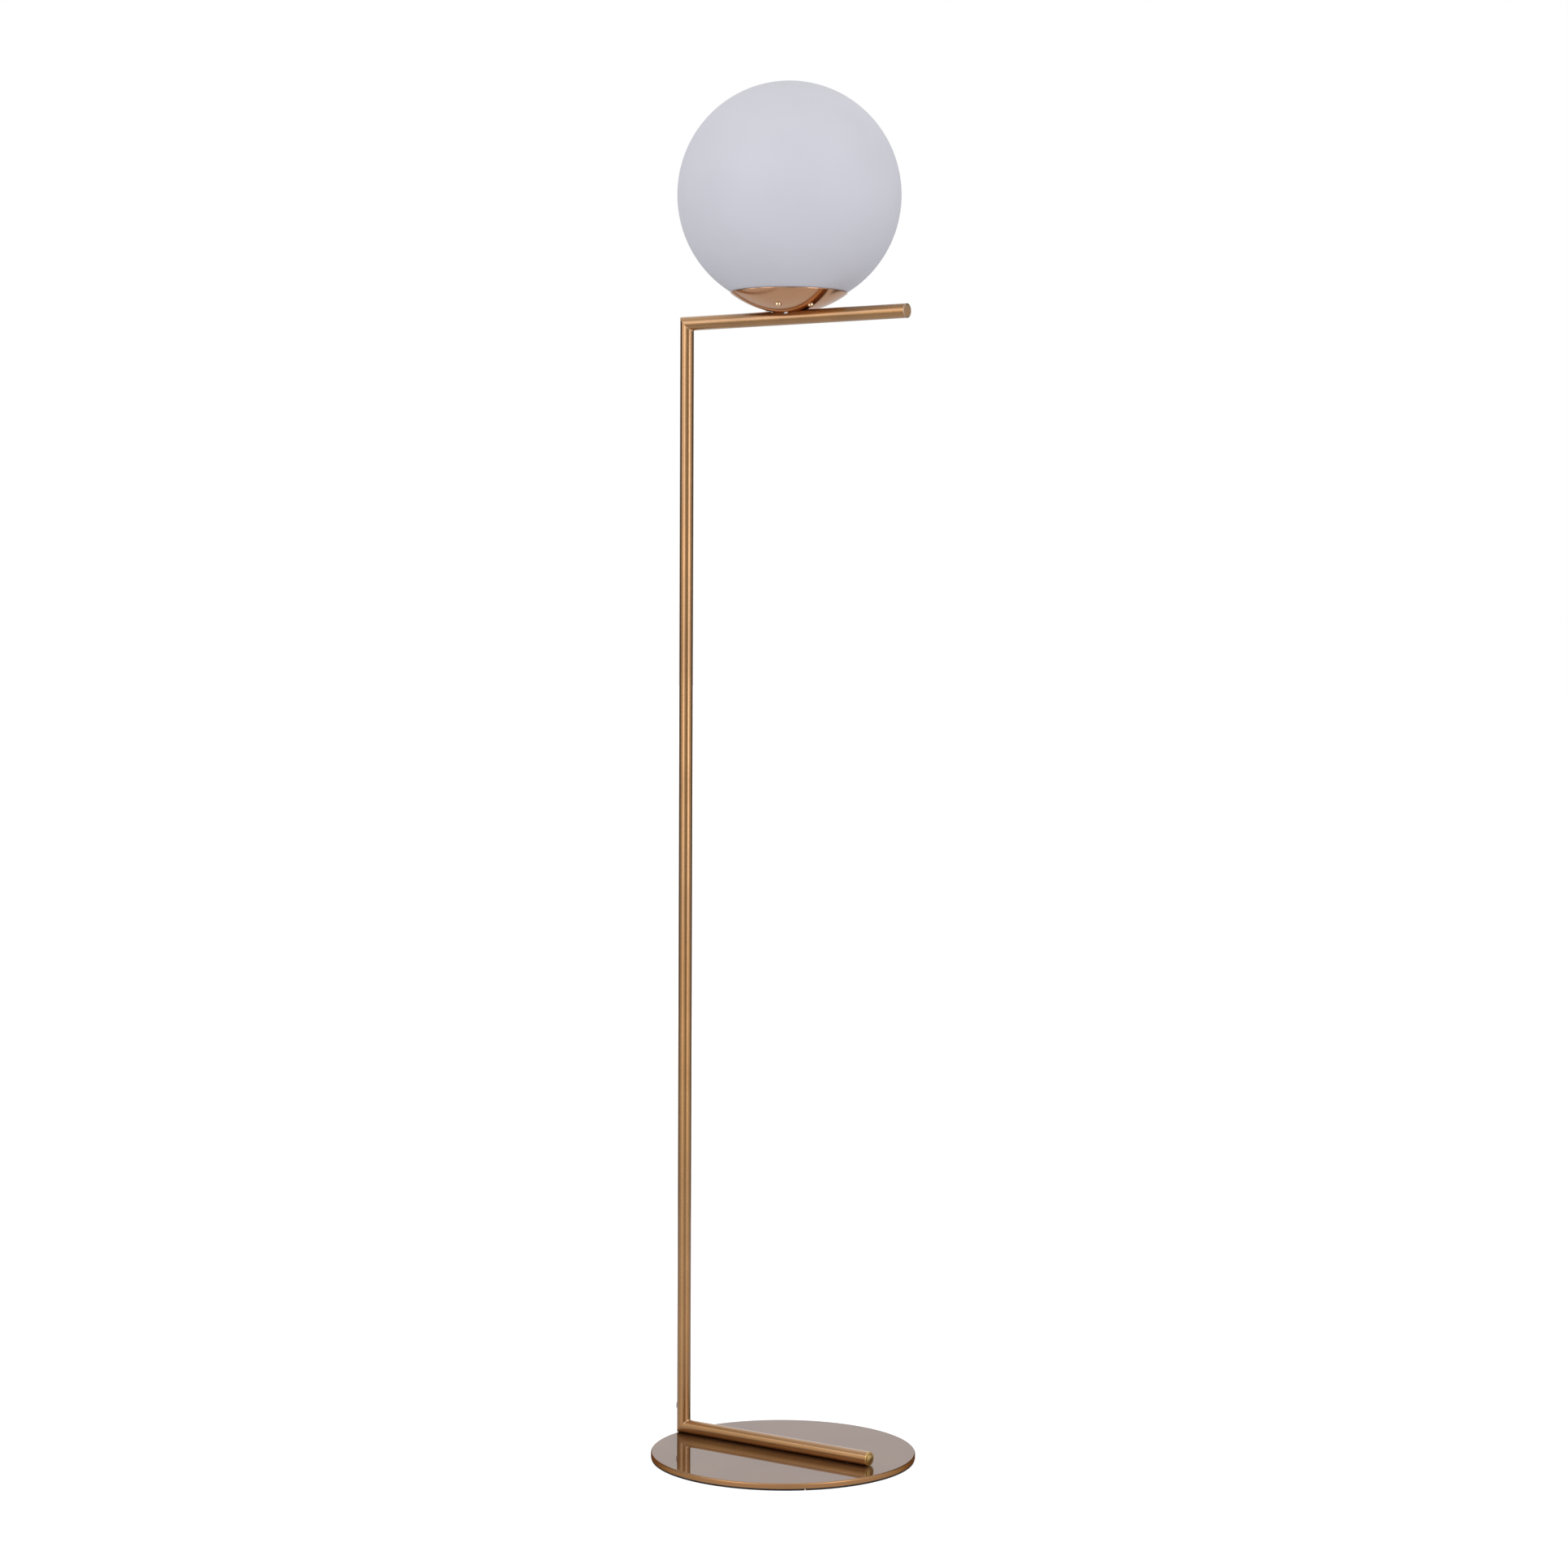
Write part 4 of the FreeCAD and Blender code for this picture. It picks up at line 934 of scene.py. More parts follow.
@cache
def round_copies() -> NodeTree:
    """Copies of a piece, turned about the Z axis, in even steps or in even groups.

    Returns:
        The tree.
    """
    tree = Growth("Round Copies", {"Count": 3, "Group": 1, "First": 0.0, "Step": 120.0,
                                   "Spread": 0.0})
    calc, group, index = tree.calc, tree["Group"], tree.out("GeometryNodeInputIndex")
    ordinal = calc("FLOOR", calc("DIVIDE", index, group))
    centred = calc("SUBTRACT", calc("MODULO", index, group),
                   calc("MULTIPLY", calc("SUBTRACT", group, 1.0), 0.5))
    angle = calc("MULTIPLY_ADD", ordinal, tree["Step"], tree["First"])
    angle = calc("MULTIPLY_ADD", centred, tree["Spread"], angle)
    return tree.dressed(tree.out("GeometryNodeInstanceOnPoints", {
        "Points": tree.out("GeometryNodePoints", {"Count": tree["Count"]}),
        "Instance": tree["Geometry"], "Rotation": tree.vector(z=calc("RADIANS", angle))}))


@cache
def rolled_thread() -> NodeTree:
    """A round thread pressed into a thin turned shell, fading at both ends.

    Returns:
        The tree.
    """
    tree = Growth("Rolled Thread", {"Low": 0.0, "High": 1.0, "Pitch": 0.0036, "Depth": 0.001,
                                    "Fade": 0.7})
    calc, pitch = tree.calc, tree["Pitch"]
    across, along, up = tree.split(tree.out("GeometryNodeInputPosition"))
    angle = calc("ARCTAN2", along, across)
    climb = calc("DIVIDE", calc("MULTIPLY", up, math.tau), pitch)
    wave = calc("COSINE", calc("SUBTRACT", angle, climb))
    inwards = calc("MULTIPLY", calc("SUBTRACT", wave, 1.0), 0.5)
    edges = [calc("DIVIDE", calc("SUBTRACT", one, other), pitch)
             for one, other in ((up, tree["Low"]), (tree["High"], up))]
    fade = tree.ramp(calc("MINIMUM", *edges), 0.0, 1.0, 0.0, tree["Fade"],
                     interpolation_type="SMOOTHSTEP")
    amount = calc("MULTIPLY", calc("MULTIPLY", inwards, fade), tree["Depth"])
    return tree.dressed(tree.shifted(tree["Geometry"], Offset=tree.vector(
        calc("MULTIPLY", amount, calc("COSINE", angle)),
        calc("MULTIPLY", amount, calc("SINE", angle)))))


@cache
def swept_cable() -> NodeTree:
    """A round cable along a bent line, whose points carry their own bend radius.

    Returns:
        The tree.
    """
    tree = Growth("Swept Cable", {"Radius": 0.0025, "Around": 32, "Bend Steps": 14})
    line = tree.out("GeometryNodeMeshToCurve", {0: tree["Geometry"]})
    bend = tree.out("GeometryNodeInputNamedAttribute", {"Name": "bend"}, data_type="FLOAT")
    soft = tree.out("GeometryNodeFilletCurve", {
        "Curve": line, "Count": tree["Bend Steps"], "Radius": bend}, mode="POLY")
    return tree.dressed(tree.swept(soft, tree.circle(tree["Around"], tree["Radius"]),
                                   Fill_Caps=True))


@cache
def weld_bead() -> NodeTree:
    """A rippled bead in the inner corner where two mitred tubes meet.

    Returns:
        The tree.
    """
    tree = Growth("Weld Bead", {"Tube Radius": 0.008, "Slope": 1.0, "Reach": 60.0, "Bead": 0.001,
                                "Ripples": 6.0, "Ripple": 0.05, "Blunt": 0.01})
    calc, radius = tree.calc, tree["Tube Radius"]
    line = tree.out("GeometryNodeCurvePrimitiveLine")
    fine = tree.out("GeometryNodeResampleCurve", {"Curve": line, "Count": 96})
    factor = tree.out("GeometryNodeSplineParameter")
    angle = calc("MULTIPLY", tree.ramp(factor, -1.0, 1.0), calc("RADIANS", tree["Reach"]))
    across = calc("MULTIPLY", calc("COSINE", angle), radius)
    spot = tree.vector(across, calc("MULTIPLY", calc("SINE", angle), radius),
                       calc("MULTIPLY", across, tree["Slope"]))
    ripple = calc("SINE", calc("MULTIPLY", factor, calc("MULTIPLY", tree["Ripples"], math.tau)))
    taper = calc("SQRT", calc("MAXIMUM", calc("SINE", calc("MULTIPLY", factor, math.pi)),
                              tree["Blunt"]))
    rippled = calc("MULTIPLY_ADD", ripple, tree["Ripple"], calc("SUBTRACT", 1.0, tree["Ripple"]))
    width = calc("MULTIPLY", calc("MULTIPLY", rippled, taper), tree["Bead"])
    return tree.dressed(tree.swept(tree.shifted(fine, Position=spot), tree.circle(16, 1.0),
                                   Fill_Caps=True, Scale=width))


def grown(tree: NodeTree, finish: Finish, host: Mesh | None = None, **values: object) -> Mesh:
    """Run a Geometry Nodes tree and keep its result as a plain mesh.

    Args:
        tree: The tree.
        finish: The finish of its result.
        host: The mesh that it starts from, if it needs one.
        **values: Its inputs, by name with _ for a space.

    Returns:
        The plain mesh.
    """
    values["material"] = finish.material()
    keys = {item.identifier: item.name.replace(" ", "_").lower()
            for item in tree.interface.items_tree if item.in_out == "INPUT"}
    made = applied(host or bpy.data.meshes.new("seed"), "NODES", {
        key: values[name] for key, name in keys.items() if name in values}, node_group=tree)
    form = bmesh.new()
    form.from_mesh(made)
    return sealed(form)


# ---- The frame and the pieces on it ----
@dataclass
class Packed:
    """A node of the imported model: its box, in metres."""

    name: str

    def __post_init__(self) -> None:
        """Read the node's lowest and highest corner, and work out its middle and its sides."""
        self.low, self.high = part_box(self.name)
        self.middle, self.size = (self.low + self.high) / 2, self.high - self.low


def put(name: str, mesh: Mesh, finish: Finish, slot: Slot, *nodes: str, rides: str = "") -> None:
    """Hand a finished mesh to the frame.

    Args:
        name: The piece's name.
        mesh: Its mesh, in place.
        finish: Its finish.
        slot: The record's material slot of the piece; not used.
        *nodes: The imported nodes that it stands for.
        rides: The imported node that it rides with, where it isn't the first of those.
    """
    body = FRAME["nodes"][rides or nodes[0]]["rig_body"]
    # Normals turned towards the widest faces keep a flat face flat up to its soft edge.
    mesh = applied(mesh, "WEIGHTED_NORMAL", mode="FACE_AREA_WITH_ANGLE", keep_sharp=True)
    mesh.name = name
    mesh.materials.clear()
    mesh.materials.append(finish.material())
    piece = linked(name, mesh)
    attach(piece, body)
    if nodes:
        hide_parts(*nodes)
    LOG.info("%s: %d faces on %s", name, len(mesh.polygons), body)


def dress(finish: Finish, *nodes: str) -> None:
    """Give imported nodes, whose own shape is shown, a finish.

    Args:
        finish: The finish.
        *nodes: The nodes' names.
    """
    for name in nodes:
        node = FRAME["nodes"][name]
        if not node.material_slots:
            node.data.materials.append(None)
        for slot in node.material_slots:
            slot.material = finish.material()
        LOG.info("%s: packed node in %s", name, finish.name)


# ---- Base ----
@dataclass
class Base:
    """Round plate on its foam pad."""

    edge_round: float = 1.6 * MM
    under_edge: float = 0.3 * MM
    support: float = 0.6 * MM
    slit_width: float = 1.6 * MM
    slit_depth: float = 7 * MM
    slit_angle: float = -44.8
    pad_edge: float = 0.25 * MM

    def build(self) -> None:
        """Build plate and pad."""
        self.plate()
        self.pad()

    def plate(self) -> None:
        """The plate, with the flat ringed close to its rounded edge so that it mirrors evenly."""
        node = Packed("base_plate")
        radius, low, high = node.high.x, node.low.z, node.high.z
        rim = arc((radius - self.edge_round, high - self.edge_round), self.edge_round, 0, 90, 8)
        foot = softened([(radius - self.support, low), (radius, low, self.under_edge),
                         (radius, high - self.edge_round)], 3)[:-1]
        inner = radius - self.edge_round - self.support
        section = [(0.0, low), *foot, *rim, (inner, high), (inner - self.support, high),
                   (0.0, high)]
        put("lacquered_plate", revolved(section, PLATE_TURN, closed=False), PLATE_LACQUER,
            Slot.PLATE, "base_plate")

    def pad(self) -> None:
        """The pad, with the slit where the ends of its strip meet."""
        node = Packed("base_pad")
        radius, half = node.high.x, self.slit_width / 2
        gap = math.asin(half / radius)
        angles = [gap + (math.tau - 2 * gap) * i / FINE_TURN for i in range(FINE_TURN + 1)]
        outline = [(radius * math.cos(angle), radius * math.sin(angle)) for angle in angles]
        outline += [(radius - self.slit_depth, -half), (radius - self.slit_depth, half)]
        mesh = extruded(outline, node.low.z, node.high.z, self.pad_edge)
        mesh.transform(Matrix.Rotation(math.radians(self.slit_angle), 4, "Z"))
        put("foam_pad", mesh, PAD_FOAM, Slot.PAD, "base_pad")


# ---- Stand: foot tube, pole and arm ----
@dataclass
class Stand:
    """The cranked brass tube: foot, pole in screwed sections, and arm."""

    wall: float = 1.2 * MM
    end_round: float = 0.14 * MM
    bead: float = 1.0 * MM
    bead_reach: float = 62.0
    plug_edge: float = 0.35 * MM
    plug_play: float = 0.05 * MM
    land_edge: float = 0.1 * MM
    groove_outer: float = 6.2 * MM
    groove_width: float = 0.6 * MM
    groove_depth: float = 0.5 * MM
    groove_edge: float = 0.12 * MM
    dome: float = 0.9 * MM
    saddle: float = 51.4 * MM
    grommet_edge: float = 0.25 * MM
    grommet_bore: float = 2.55 * MM
    grommet_neck: float = 3.45 * MM

    def __post_init__(self) -> None:
        """Read the tube's size and axes."""
        pole = Packed("lower_pole")
        self.radius, self.pole_x = pole.size.x / 2, pole.middle.x
        self.foot_z, self.arm_z = Packed("foot_tube").middle.z, Packed("arm_tube").middle.z

    def build(self) -> None:
        """Build every tube, plug, bead and seal of the stand."""
        self.uprights()
        self.foot()
        self.arm()
        self.beads()
        self.grommet()
        dress(DARK_STEEL, "foot_screws")
        dress(STEEL, "foot_blocks", "arm_anchor", "lower_joint_bush", "lower_joint_stud",
              "middle_joint_bush", "middle_joint_stud", "upper_joint_bush", "upper_joint_stud",
              "neck_nipple")

    def tube(self, length: float, start: float = 0.0, end: float = 0.0) -> Mesh:
        """A tube from its own origin along Z.

        Args:
            length: Length along the axis.
            start: Slope of the cut at the origin.
            end: Slope of the cut at the far end.

        Returns:
            The tube's mesh.
        """
        return grown(mitred_tube(), POLE_BRASS, length=length, radius=self.radius,
                     wall=self.wall, edge=self.end_round, start_mitre=start, end_mitre=end,
                     around=TUBE_TURN)

    def uprights(self) -> None:
        """Heel riser, both pole sections and arm riser."""
        for name, label, start, end in (
                ("heel_riser", "heel_tube", 1.0, 0.0), ("lower_pole", "lower_pole_tube", 0.0, 0.0),
                ("upper_pole", "upper_pole_tube", 0.0, 0.0),
                ("arm_riser", "arm_riser_tube", 0.0, -1.0)):
            node = Packed(name)
            low = self.foot_z if start else node.low.z
            high = self.arm_z if end else node.high.z
            put(label, moved(self.tube(high - low, start, end), x=self.pole_x, z=low),
                POLE_BRASS, Slot.TUBE, name)

    def level(self, section: Section, height: float) -> Mesh:
        """A section turned about the level axis of a tube; returns its mesh."""
        return moved(revolved(section, TUBE_TURN, closed=False), Lie.ALONG_ARM, z=height)

    def foot(self) -> None:
        """Foot tube and its domed plug."""
        end, plug, height = Packed("foot_tube").high.x, Packed("foot_end_plug"), self.foot_z
        put("foot_tube_brass", moved(self.tube(end - self.pole_x, 1.0), Lie.ALONG_ARM,
                                     self.pole_x, height),
            LEVEL_BRASS, Slot.TUBE, "foot_tube")
        face = plug.high.x - self.dome
        inner = self.groove_outer - self.groove_width
        hump = (inner ** 2 + self.dome ** 2) / (2 * self.dome)
        swing = math.degrees(math.asin(inner / hump))
        insert = self.radius - self.wall - self.plug_play
        section = softened([
            (0.0, plug.low.x), (insert, plug.low.x, self.plug_edge), (insert, end),
            (self.radius, end, self.land_edge), (self.radius, face, self.plug_edge),
            (self.groove_outer, face, self.groove_edge),
            (self.groove_outer, face - self.groove_depth), (inner, face - self.groove_depth),
            (inner, face)])
        section += arc((0.0, plug.high.x - hump), hump, 90 - swing, 90, 10)[1:]
        put("foot_plug", self.level(section, height), PLUG_BRASS.along_arm(height), Slot.TURNED,
            "foot_end_plug")

    def arm(self) -> None:
        """Arm tube with the flat for the bowl, and its recessed plug."""
        plug, height, tall = Packed("arm_end_plug"), self.arm_z, 4 * self.radius
        length = Packed("arm_tube").high.x - self.pole_x
        mesh = moved(self.tube(length, -1.0), Lie.ALONG_ARM, self.pole_x, height)
        box = bmesh.new()
        bmesh.ops.create_cube(box, size=1.0)
        floor = Packed("arm_anchor").high.z
        box.transform(Matrix.Translation((0, 0, floor + tall / 2))
                      @ Matrix.Diagonal((self.saddle, tall, tall, 1)))
        put("arm_tube_brass", carved(mesh, sealed(box)), LEVEL_BRASS, Slot.TUBE, "arm_tube")
        edge, low, high = plug.size.z / 2, plug.low.x, plug.high.x
        section = softened([(0.0, low), (edge, low, self.plug_edge), (edge, high, self.plug_edge),
                            (0.0, high)])
        put("arm_plug", self.level(section, height), END_BRASS.along_arm(height), Slot.TURNED,
            "arm_end_plug")

    def beads(self) -> None:
        """Weld beads in the inner corners at heel and arm."""
        for name, height, slope in (("heel_weld", self.foot_z, 1.0),
                                    ("arm_weld", self.arm_z, -1.0)):
            mesh = grown(weld_bead(), POLE_BRASS, tube_radius=self.radius, slope=slope,
                         reach=self.bead_reach, bead=self.bead)
            put(name, moved(mesh, x=self.pole_x, z=height), SCREW_BRASS, Slot.TUBE,
                rides="heel_riser")

    def grommet(self) -> None:
        """Rubber grommet in the back of the heel, its flanges bent to the tube."""
        node, soft = Packed("inlet_grommet"), self.grommet_edge
        bore, flange, neck = self.grommet_bore, node.size.z / 2, self.grommet_neck
        inner, outer = self.radius - self.wall, self.radius
        lip = -node.low.x + self.pole_x - self.radius
        mesh = revolved(softened([
            (bore, inner - lip, soft), (flange, inner - lip, soft), (flange, inner),
            (neck, inner), (neck, outer), (flange, outer), (flange, outer + lip, soft),
            (bore, outer + lip, soft)]), COARSE_TURN)
        for vertex in mesh.vertices:
            vertex.co.z -= self.radius - math.sqrt(self.radius ** 2 - vertex.co.y ** 2)
        put("inlet_seal", moved(mesh, Lie.TO_THE_BACK, self.pole_x, node.middle.z), RUBBER,
            Slot.RUBBER, "inlet_grommet")


# ---- Bowl ----
@dataclass(frozen=True)
class Ring:
    """Copies round the lamp's axis: groups a step apart, their members a spread apart."""

    count: int
    group: int
    first: float
    step: float
    spread: float = 0.0

    def of(self, mesh: Mesh, finish: Finish) -> Mesh:
        """The copies of a mesh."""
        return grown(round_copies(), finish, mesh, **vars(self))


@dataclass
class Bowl:
    """Spun bowl with its fastenings, the holder plate and what seats the globe."""

    wall: float = 1.2 * MM
    flat: float = 9 * MM
    hole: float = 5.1 * MM
    rim_round: float = 0.5 * MM
    collar_edge: float = 0.3 * MM
    plate_edge: float = 0.25 * MM
    screw_circle: float = 37 * MM
    screw_ring: Ring = Ring(4, 2, -43.4, 180.0, 59.0)
    head: float = 3.8 * MM
    head_height: float = 2.3 * MM
    head_dome: float = 1.6 * MM
    into_sheet: float = 0.15 * MM
    shank: float = 2 * MM
    tip_edge: float = 0.35 * MM
    nut_flats: float = 7 * MM
    nut_height: float = 3.2 * MM
    clip_ring: Ring = Ring(3, 1, 16.6, 120.0)
    clip_width: float = 12 * MM
    clip_sheet: float = 0.6 * MM
    clip_foot: float = 13 * MM
    clip_bend: float = 1.2 * MM
    clip_edge: float = 0.1 * MM
    clip_side_edge: float = 0.15 * MM
    clip_gap: float = 0.95 * MM
    rivet: float = 2.6 * MM
    rivet_height: float = 1 * MM
    rivet_shank: float = 1.5 * MM
    gasket_width: float = 6.63 * MM
    gasket_edge: float = 0.5 * MM

    def __post_init__(self) -> None:
        """Work the bowl's curve out from its box."""
        node, self.seal = Packed("bowl"), Packed("glass_gasket")
        self.bottom, self.depth, self.rim = node.low.z, node.size.z, node.high.x
        self.arc_height = ((self.rim ** 2 + self.depth ** 2 - self.flat ** 2)
                           / (2 * self.depth))
        self.curve = math.hypot(self.arc_height, self.flat)
        self.seal_inner = self.seal.high.x - self.gasket_width

    def build(self) -> None:
        """Build the bowl and everything on it."""
        self.dish()
        self.collar()
        self.screws()
        self.plate()
        self.clips()
        self.gasket()
        dress(STEEL, "bowl_washer", "neck_nut", "plate_spacers")

    def surface(self, radius: float, curve: float = 0.0) -> float:
        """Height of the bowl's outer face, or of another curve with its centre, at a radius."""
        return self.bottom + self.arc_height - math.sqrt((curve or self.curve) ** 2 - radius ** 2)

    def dish(self) -> None:
        """The spun bowl: a flat, two concentric curves and a soft rim."""
        inner, top = self.curve - self.wall, self.bottom + self.depth
        start = math.sqrt(inner ** 2 - (self.arc_height - self.wall) ** 2)
        stop = math.sqrt(inner ** 2 - (self.arc_height - self.depth) ** 2)
        outside, inside = (arc(
            (0.0, self.bottom + self.arc_height), reach, -math.degrees(math.acos(first / reach)),
            -math.degrees(math.acos(last / reach)), 40) for reach, first, last in (
                (self.curve, self.flat, self.rim), (inner, stop, start)))
        rim = softened([outside[-2], (self.rim, top, self.rim_round), (stop, top, self.rim_round),
                        inside[1]])[1:-1]
        section = [(self.hole, self.bottom + self.wall), (self.hole, self.bottom), *outside[:-1],
                   *rim, *inside[1:]]
        put("spun_bowl", revolved(section), BOWL_BRASS, Slot.BOWL, "bowl")

    def collar(self) -> None:
        """The steel collar between arm and bowl."""
        node, soft = Packed("neck_collar"), self.collar_edge
        section = softened([(self.hole, node.low.z), (node.high.x, node.low.z, soft),
                            (node.high.x, node.high.z, soft), (self.hole, node.high.z)])
        put("steel_collar", revolved(section, COARSE_TURN), STEEL, Slot.STEEL, "neck_collar")

    def screws(self) -> None:
        """Domed screws under the bowl with their nuts on the holder plate."""
        circle, head, shank = self.screw_circle, self.head, self.shank
        under = self.surface(circle) - self.head_height
        ball = (head ** 2 + self.head_dome ** 2) / (2 * self.head_dome)
        tip, head_top = Packed("bowl_screws").high.z, self.surface(circle + head)
        section = arc((0.0, under + ball), ball, -90,
                      -90 + math.degrees(math.asin(head / ball)), 10)
        section += softened([section[-1], (head, head_top), (shank, head_top),
                             (shank, tip, self.tip_edge), (0.0, tip)])[1:]
        screw = moved(revolved(section, SCREW_TURN, closed=False), x=circle)
        for spot in (vertex.co for vertex in screw.vertices):
            if abs(spot.z - head_top) < MERGE_DISTANCE:
                spot.z = self.surface(math.hypot(spot.x, spot.y)) + self.into_sheet
        put("domed_screws", self.screw_ring.of(screw, SCREW_BRASS), SCREW_BRASS, Slot.TURNED,
            "bowl_screws")
        nut = moved(hex_nut(self.nut_flats, self.nut_height, shank), x=circle,
                    z=Packed("holder_plate").high.z)
        put("screw_nuts", self.screw_ring.of(nut, STEEL), STEEL, Slot.STEEL, "bowl_screw_nuts")

    def plate(self) -> None:
        """The round plate in the bowl that carries lampholder and clips."""
        node, soft = Packed("holder_plate"), self.plate_edge
        section = softened([(radius, height, soft) for radius, height in (
            (self.hole, node.low.z), (node.high.x, node.low.z), (node.high.x, node.high.z),
            (self.hole, node.high.z))])
        put("steel_holder_plate", revolved(section), STEEL, Slot.STEEL, "holder_plate")

    def clips(self) -> None:
        """Bent spring clips and their rivets."""
        node, edge, sheet = Packed("globe_clips"), self.clip_edge, self.clip_sheet
        half, bend, low, top = self.clip_width / 2, self.clip_bend, node.low.z, node.high.z
        face = math.sqrt((self.seal_inner - self.clip_gap) ** 2 - half ** 2)
        heel, head = face - self.clip_foot, low + sheet
        outline = softened([
            (heel, low, edge), (face, low, bend + sheet), (face, top, edge),
            (face - sheet, top, edge), (face - sheet, head, bend), (heel, head, edge)], 5)
        strip = extruded(outline, -half, half, self.clip_side_edge)
        strip.transform(Matrix.Rotation(math.pi / 2, 4, "X"))
        put("spring_clips", self.clip_ring.of(strip, NICKEL), NICKEL, Slot.NICKEL, "globe_clips")
        radius, shank, rise = self.rivet, self.rivet_shank, self.rivet_height
        dome = [(r, head + (z - head) * rise / radius)
                for r, z in arc((0.0, head), radius, 0, 90, 8)]
        below = Packed("clip_rivets").low.z
        section = softened([
            (0.0, below), (radius, below, self.collar_edge), (radius, below + rise),
            (shank, below + rise), (shank, head), (radius, head)])
        rivet = moved(revolved(section + dome[1:], RIVET_TURN, closed=False),
                      x=face - self.clip_foot / 2)
        put("round_rivets", self.clip_ring.of(rivet, NICKEL), NICKEL, Slot.NICKEL, "clip_rivets")

    def gasket(self) -> None:
        """Silicone ring under the glass edge, its underside on the bowl's curve."""
        inner, outer, top = self.seal_inner, self.seal.high.x, self.seal.high.z
        under = [(inner + (outer - inner) * i / 6) for i in range(7)]
        below = [(r, self.surface(r, self.curve - self.wall)) for r in under]
        section = below[:-1] + softened([
            below[-2], below[-1], (outer, top, self.gasket_edge), (inner, top, self.gasket_edge),
            below[0]])[1:-1]
        put("silicone_seal", revolved(section), SILICONE, Slot.SILICONE, "glass_gasket")


# ---- Globe ----
@dataclass
class Globe:
    """Opal glass globe with a cut and fire-polished mouth."""

    wall: float = 2.5 * MM
    lip: float = 0.8 * MM
    steps: int = 96

    def build(self) -> None:
        """Build the glass as one closed shell."""
        node = Packed("glass_globe")
        radius = node.size.x / 2
        inner, middle = radius - self.wall, node.high.z - radius
        drop = middle - node.low.z
        start, stop = (-math.degrees(math.asin(drop / reach)) for reach in (radius, inner))
        outside = arc((0.0, middle), radius, start, 90, self.steps)
        inside = arc((0.0, middle), inner, 90, stop, self.steps)
        lip = softened([inside[-2], (*inside[-1], self.lip), (*outside[0], self.lip),
                        outside[1]], 5)[1:-1]
        put("opal_globe", shell(lip, outside[1:], inside[:-1]), OPAL_GLASS, Slot.OPAL,
            "glass_globe")


# ---- Lampholder and bulb ----
@dataclass
class Lampholder:
    """Lampholder on its nipple: cap, ceramic block, threaded shell and sleeve."""

    wall: float = 2 * MM
    floor: float = 3 * MM
    soft: float = 0.5 * MM
    rim_edge: float = 0.2 * MM
    cap_bore: float = 5.05 * MM
    cap_foot: float = 13 * MM
    cap_flare: float = 7 * MM
    sleeve_top: float = 18.4 * MM
    sleeve_play: float = 0.05 * MM
    shell_gap: float = 0.3 * MM
    sheet: float = 0.5 * MM

    def build(self) -> None:
        """Build the visible mouldings and the threaded shell."""
        self.cap_node, self.shell_node = Packed("holder_cap"), Packed("holder_shell")
        self.cap()
        self.sleeve()
        self.shell()
        dress(CERAMIC, "holder_block")
        dress(NICKEL, "holder_contact")

    def cap(self) -> None:
        """The cap: a flared cup."""
        low, high, outer = self.cap_node.low.z, self.cap_node.high.z, self.cap_node.high.x
        inner, flare, soft = outer - self.wall, low + self.cap_flare, self.soft
        section = softened([
            (self.cap_bore, low), (self.cap_foot, low, soft), (outer, flare, 3 * soft),
            (outer, high, self.rim_edge), (inner, high), (inner, flare, soft),
            (self.cap_foot - self.wall, low + self.floor, soft),
            (self.cap_bore, low + self.floor)])
        put("moulded_cap", revolved(section, HOLDER_TURN), HOLDER_PLASTIC, Slot.HOLDER,
            "holder_cap")

    def sleeve(self) -> None:
        """The sleeve, which narrows to its soft upper edge."""
        node, soft, step = Packed("holder_sleeve"), self.soft, Packed("holder_block").high.z
        bore = self.shell_node.high.x + self.shell_gap
        inner = self.cap_node.high.x + self.sleeve_play
        section = softened([
            (inner, node.low.z), (node.high.x, node.low.z, soft), (node.high.x, step, 2 * soft),
            (self.sleeve_top, node.high.z, 2 * soft), (bore, node.high.z, soft),
            (bore, step + self.shell_gap), (inner, step + self.shell_gap)])
        put("moulded_sleeve", revolved(section, HOLDER_TURN), HOLDER_PLASTIC, Slot.HOLDER,
            "holder_sleeve")

    def shell(self) -> None:
        """The threaded shell, rolled from sheet."""
        low, high, outer = (self.shell_node.low.z, self.shell_node.high.z,
                            self.shell_node.high.x)
        section = thread_section(outer - self.sheet, outer, low, high)
        mesh = grown(rolled_thread(), NICKEL, revolved(section, COARSE_TURN), low=low + MM,
                     high=high - MM, pitch=THREAD_PITCH, depth=0.0)
        put("threaded_shell", mesh, NICKEL, Slot.NICKEL, "holder_shell")


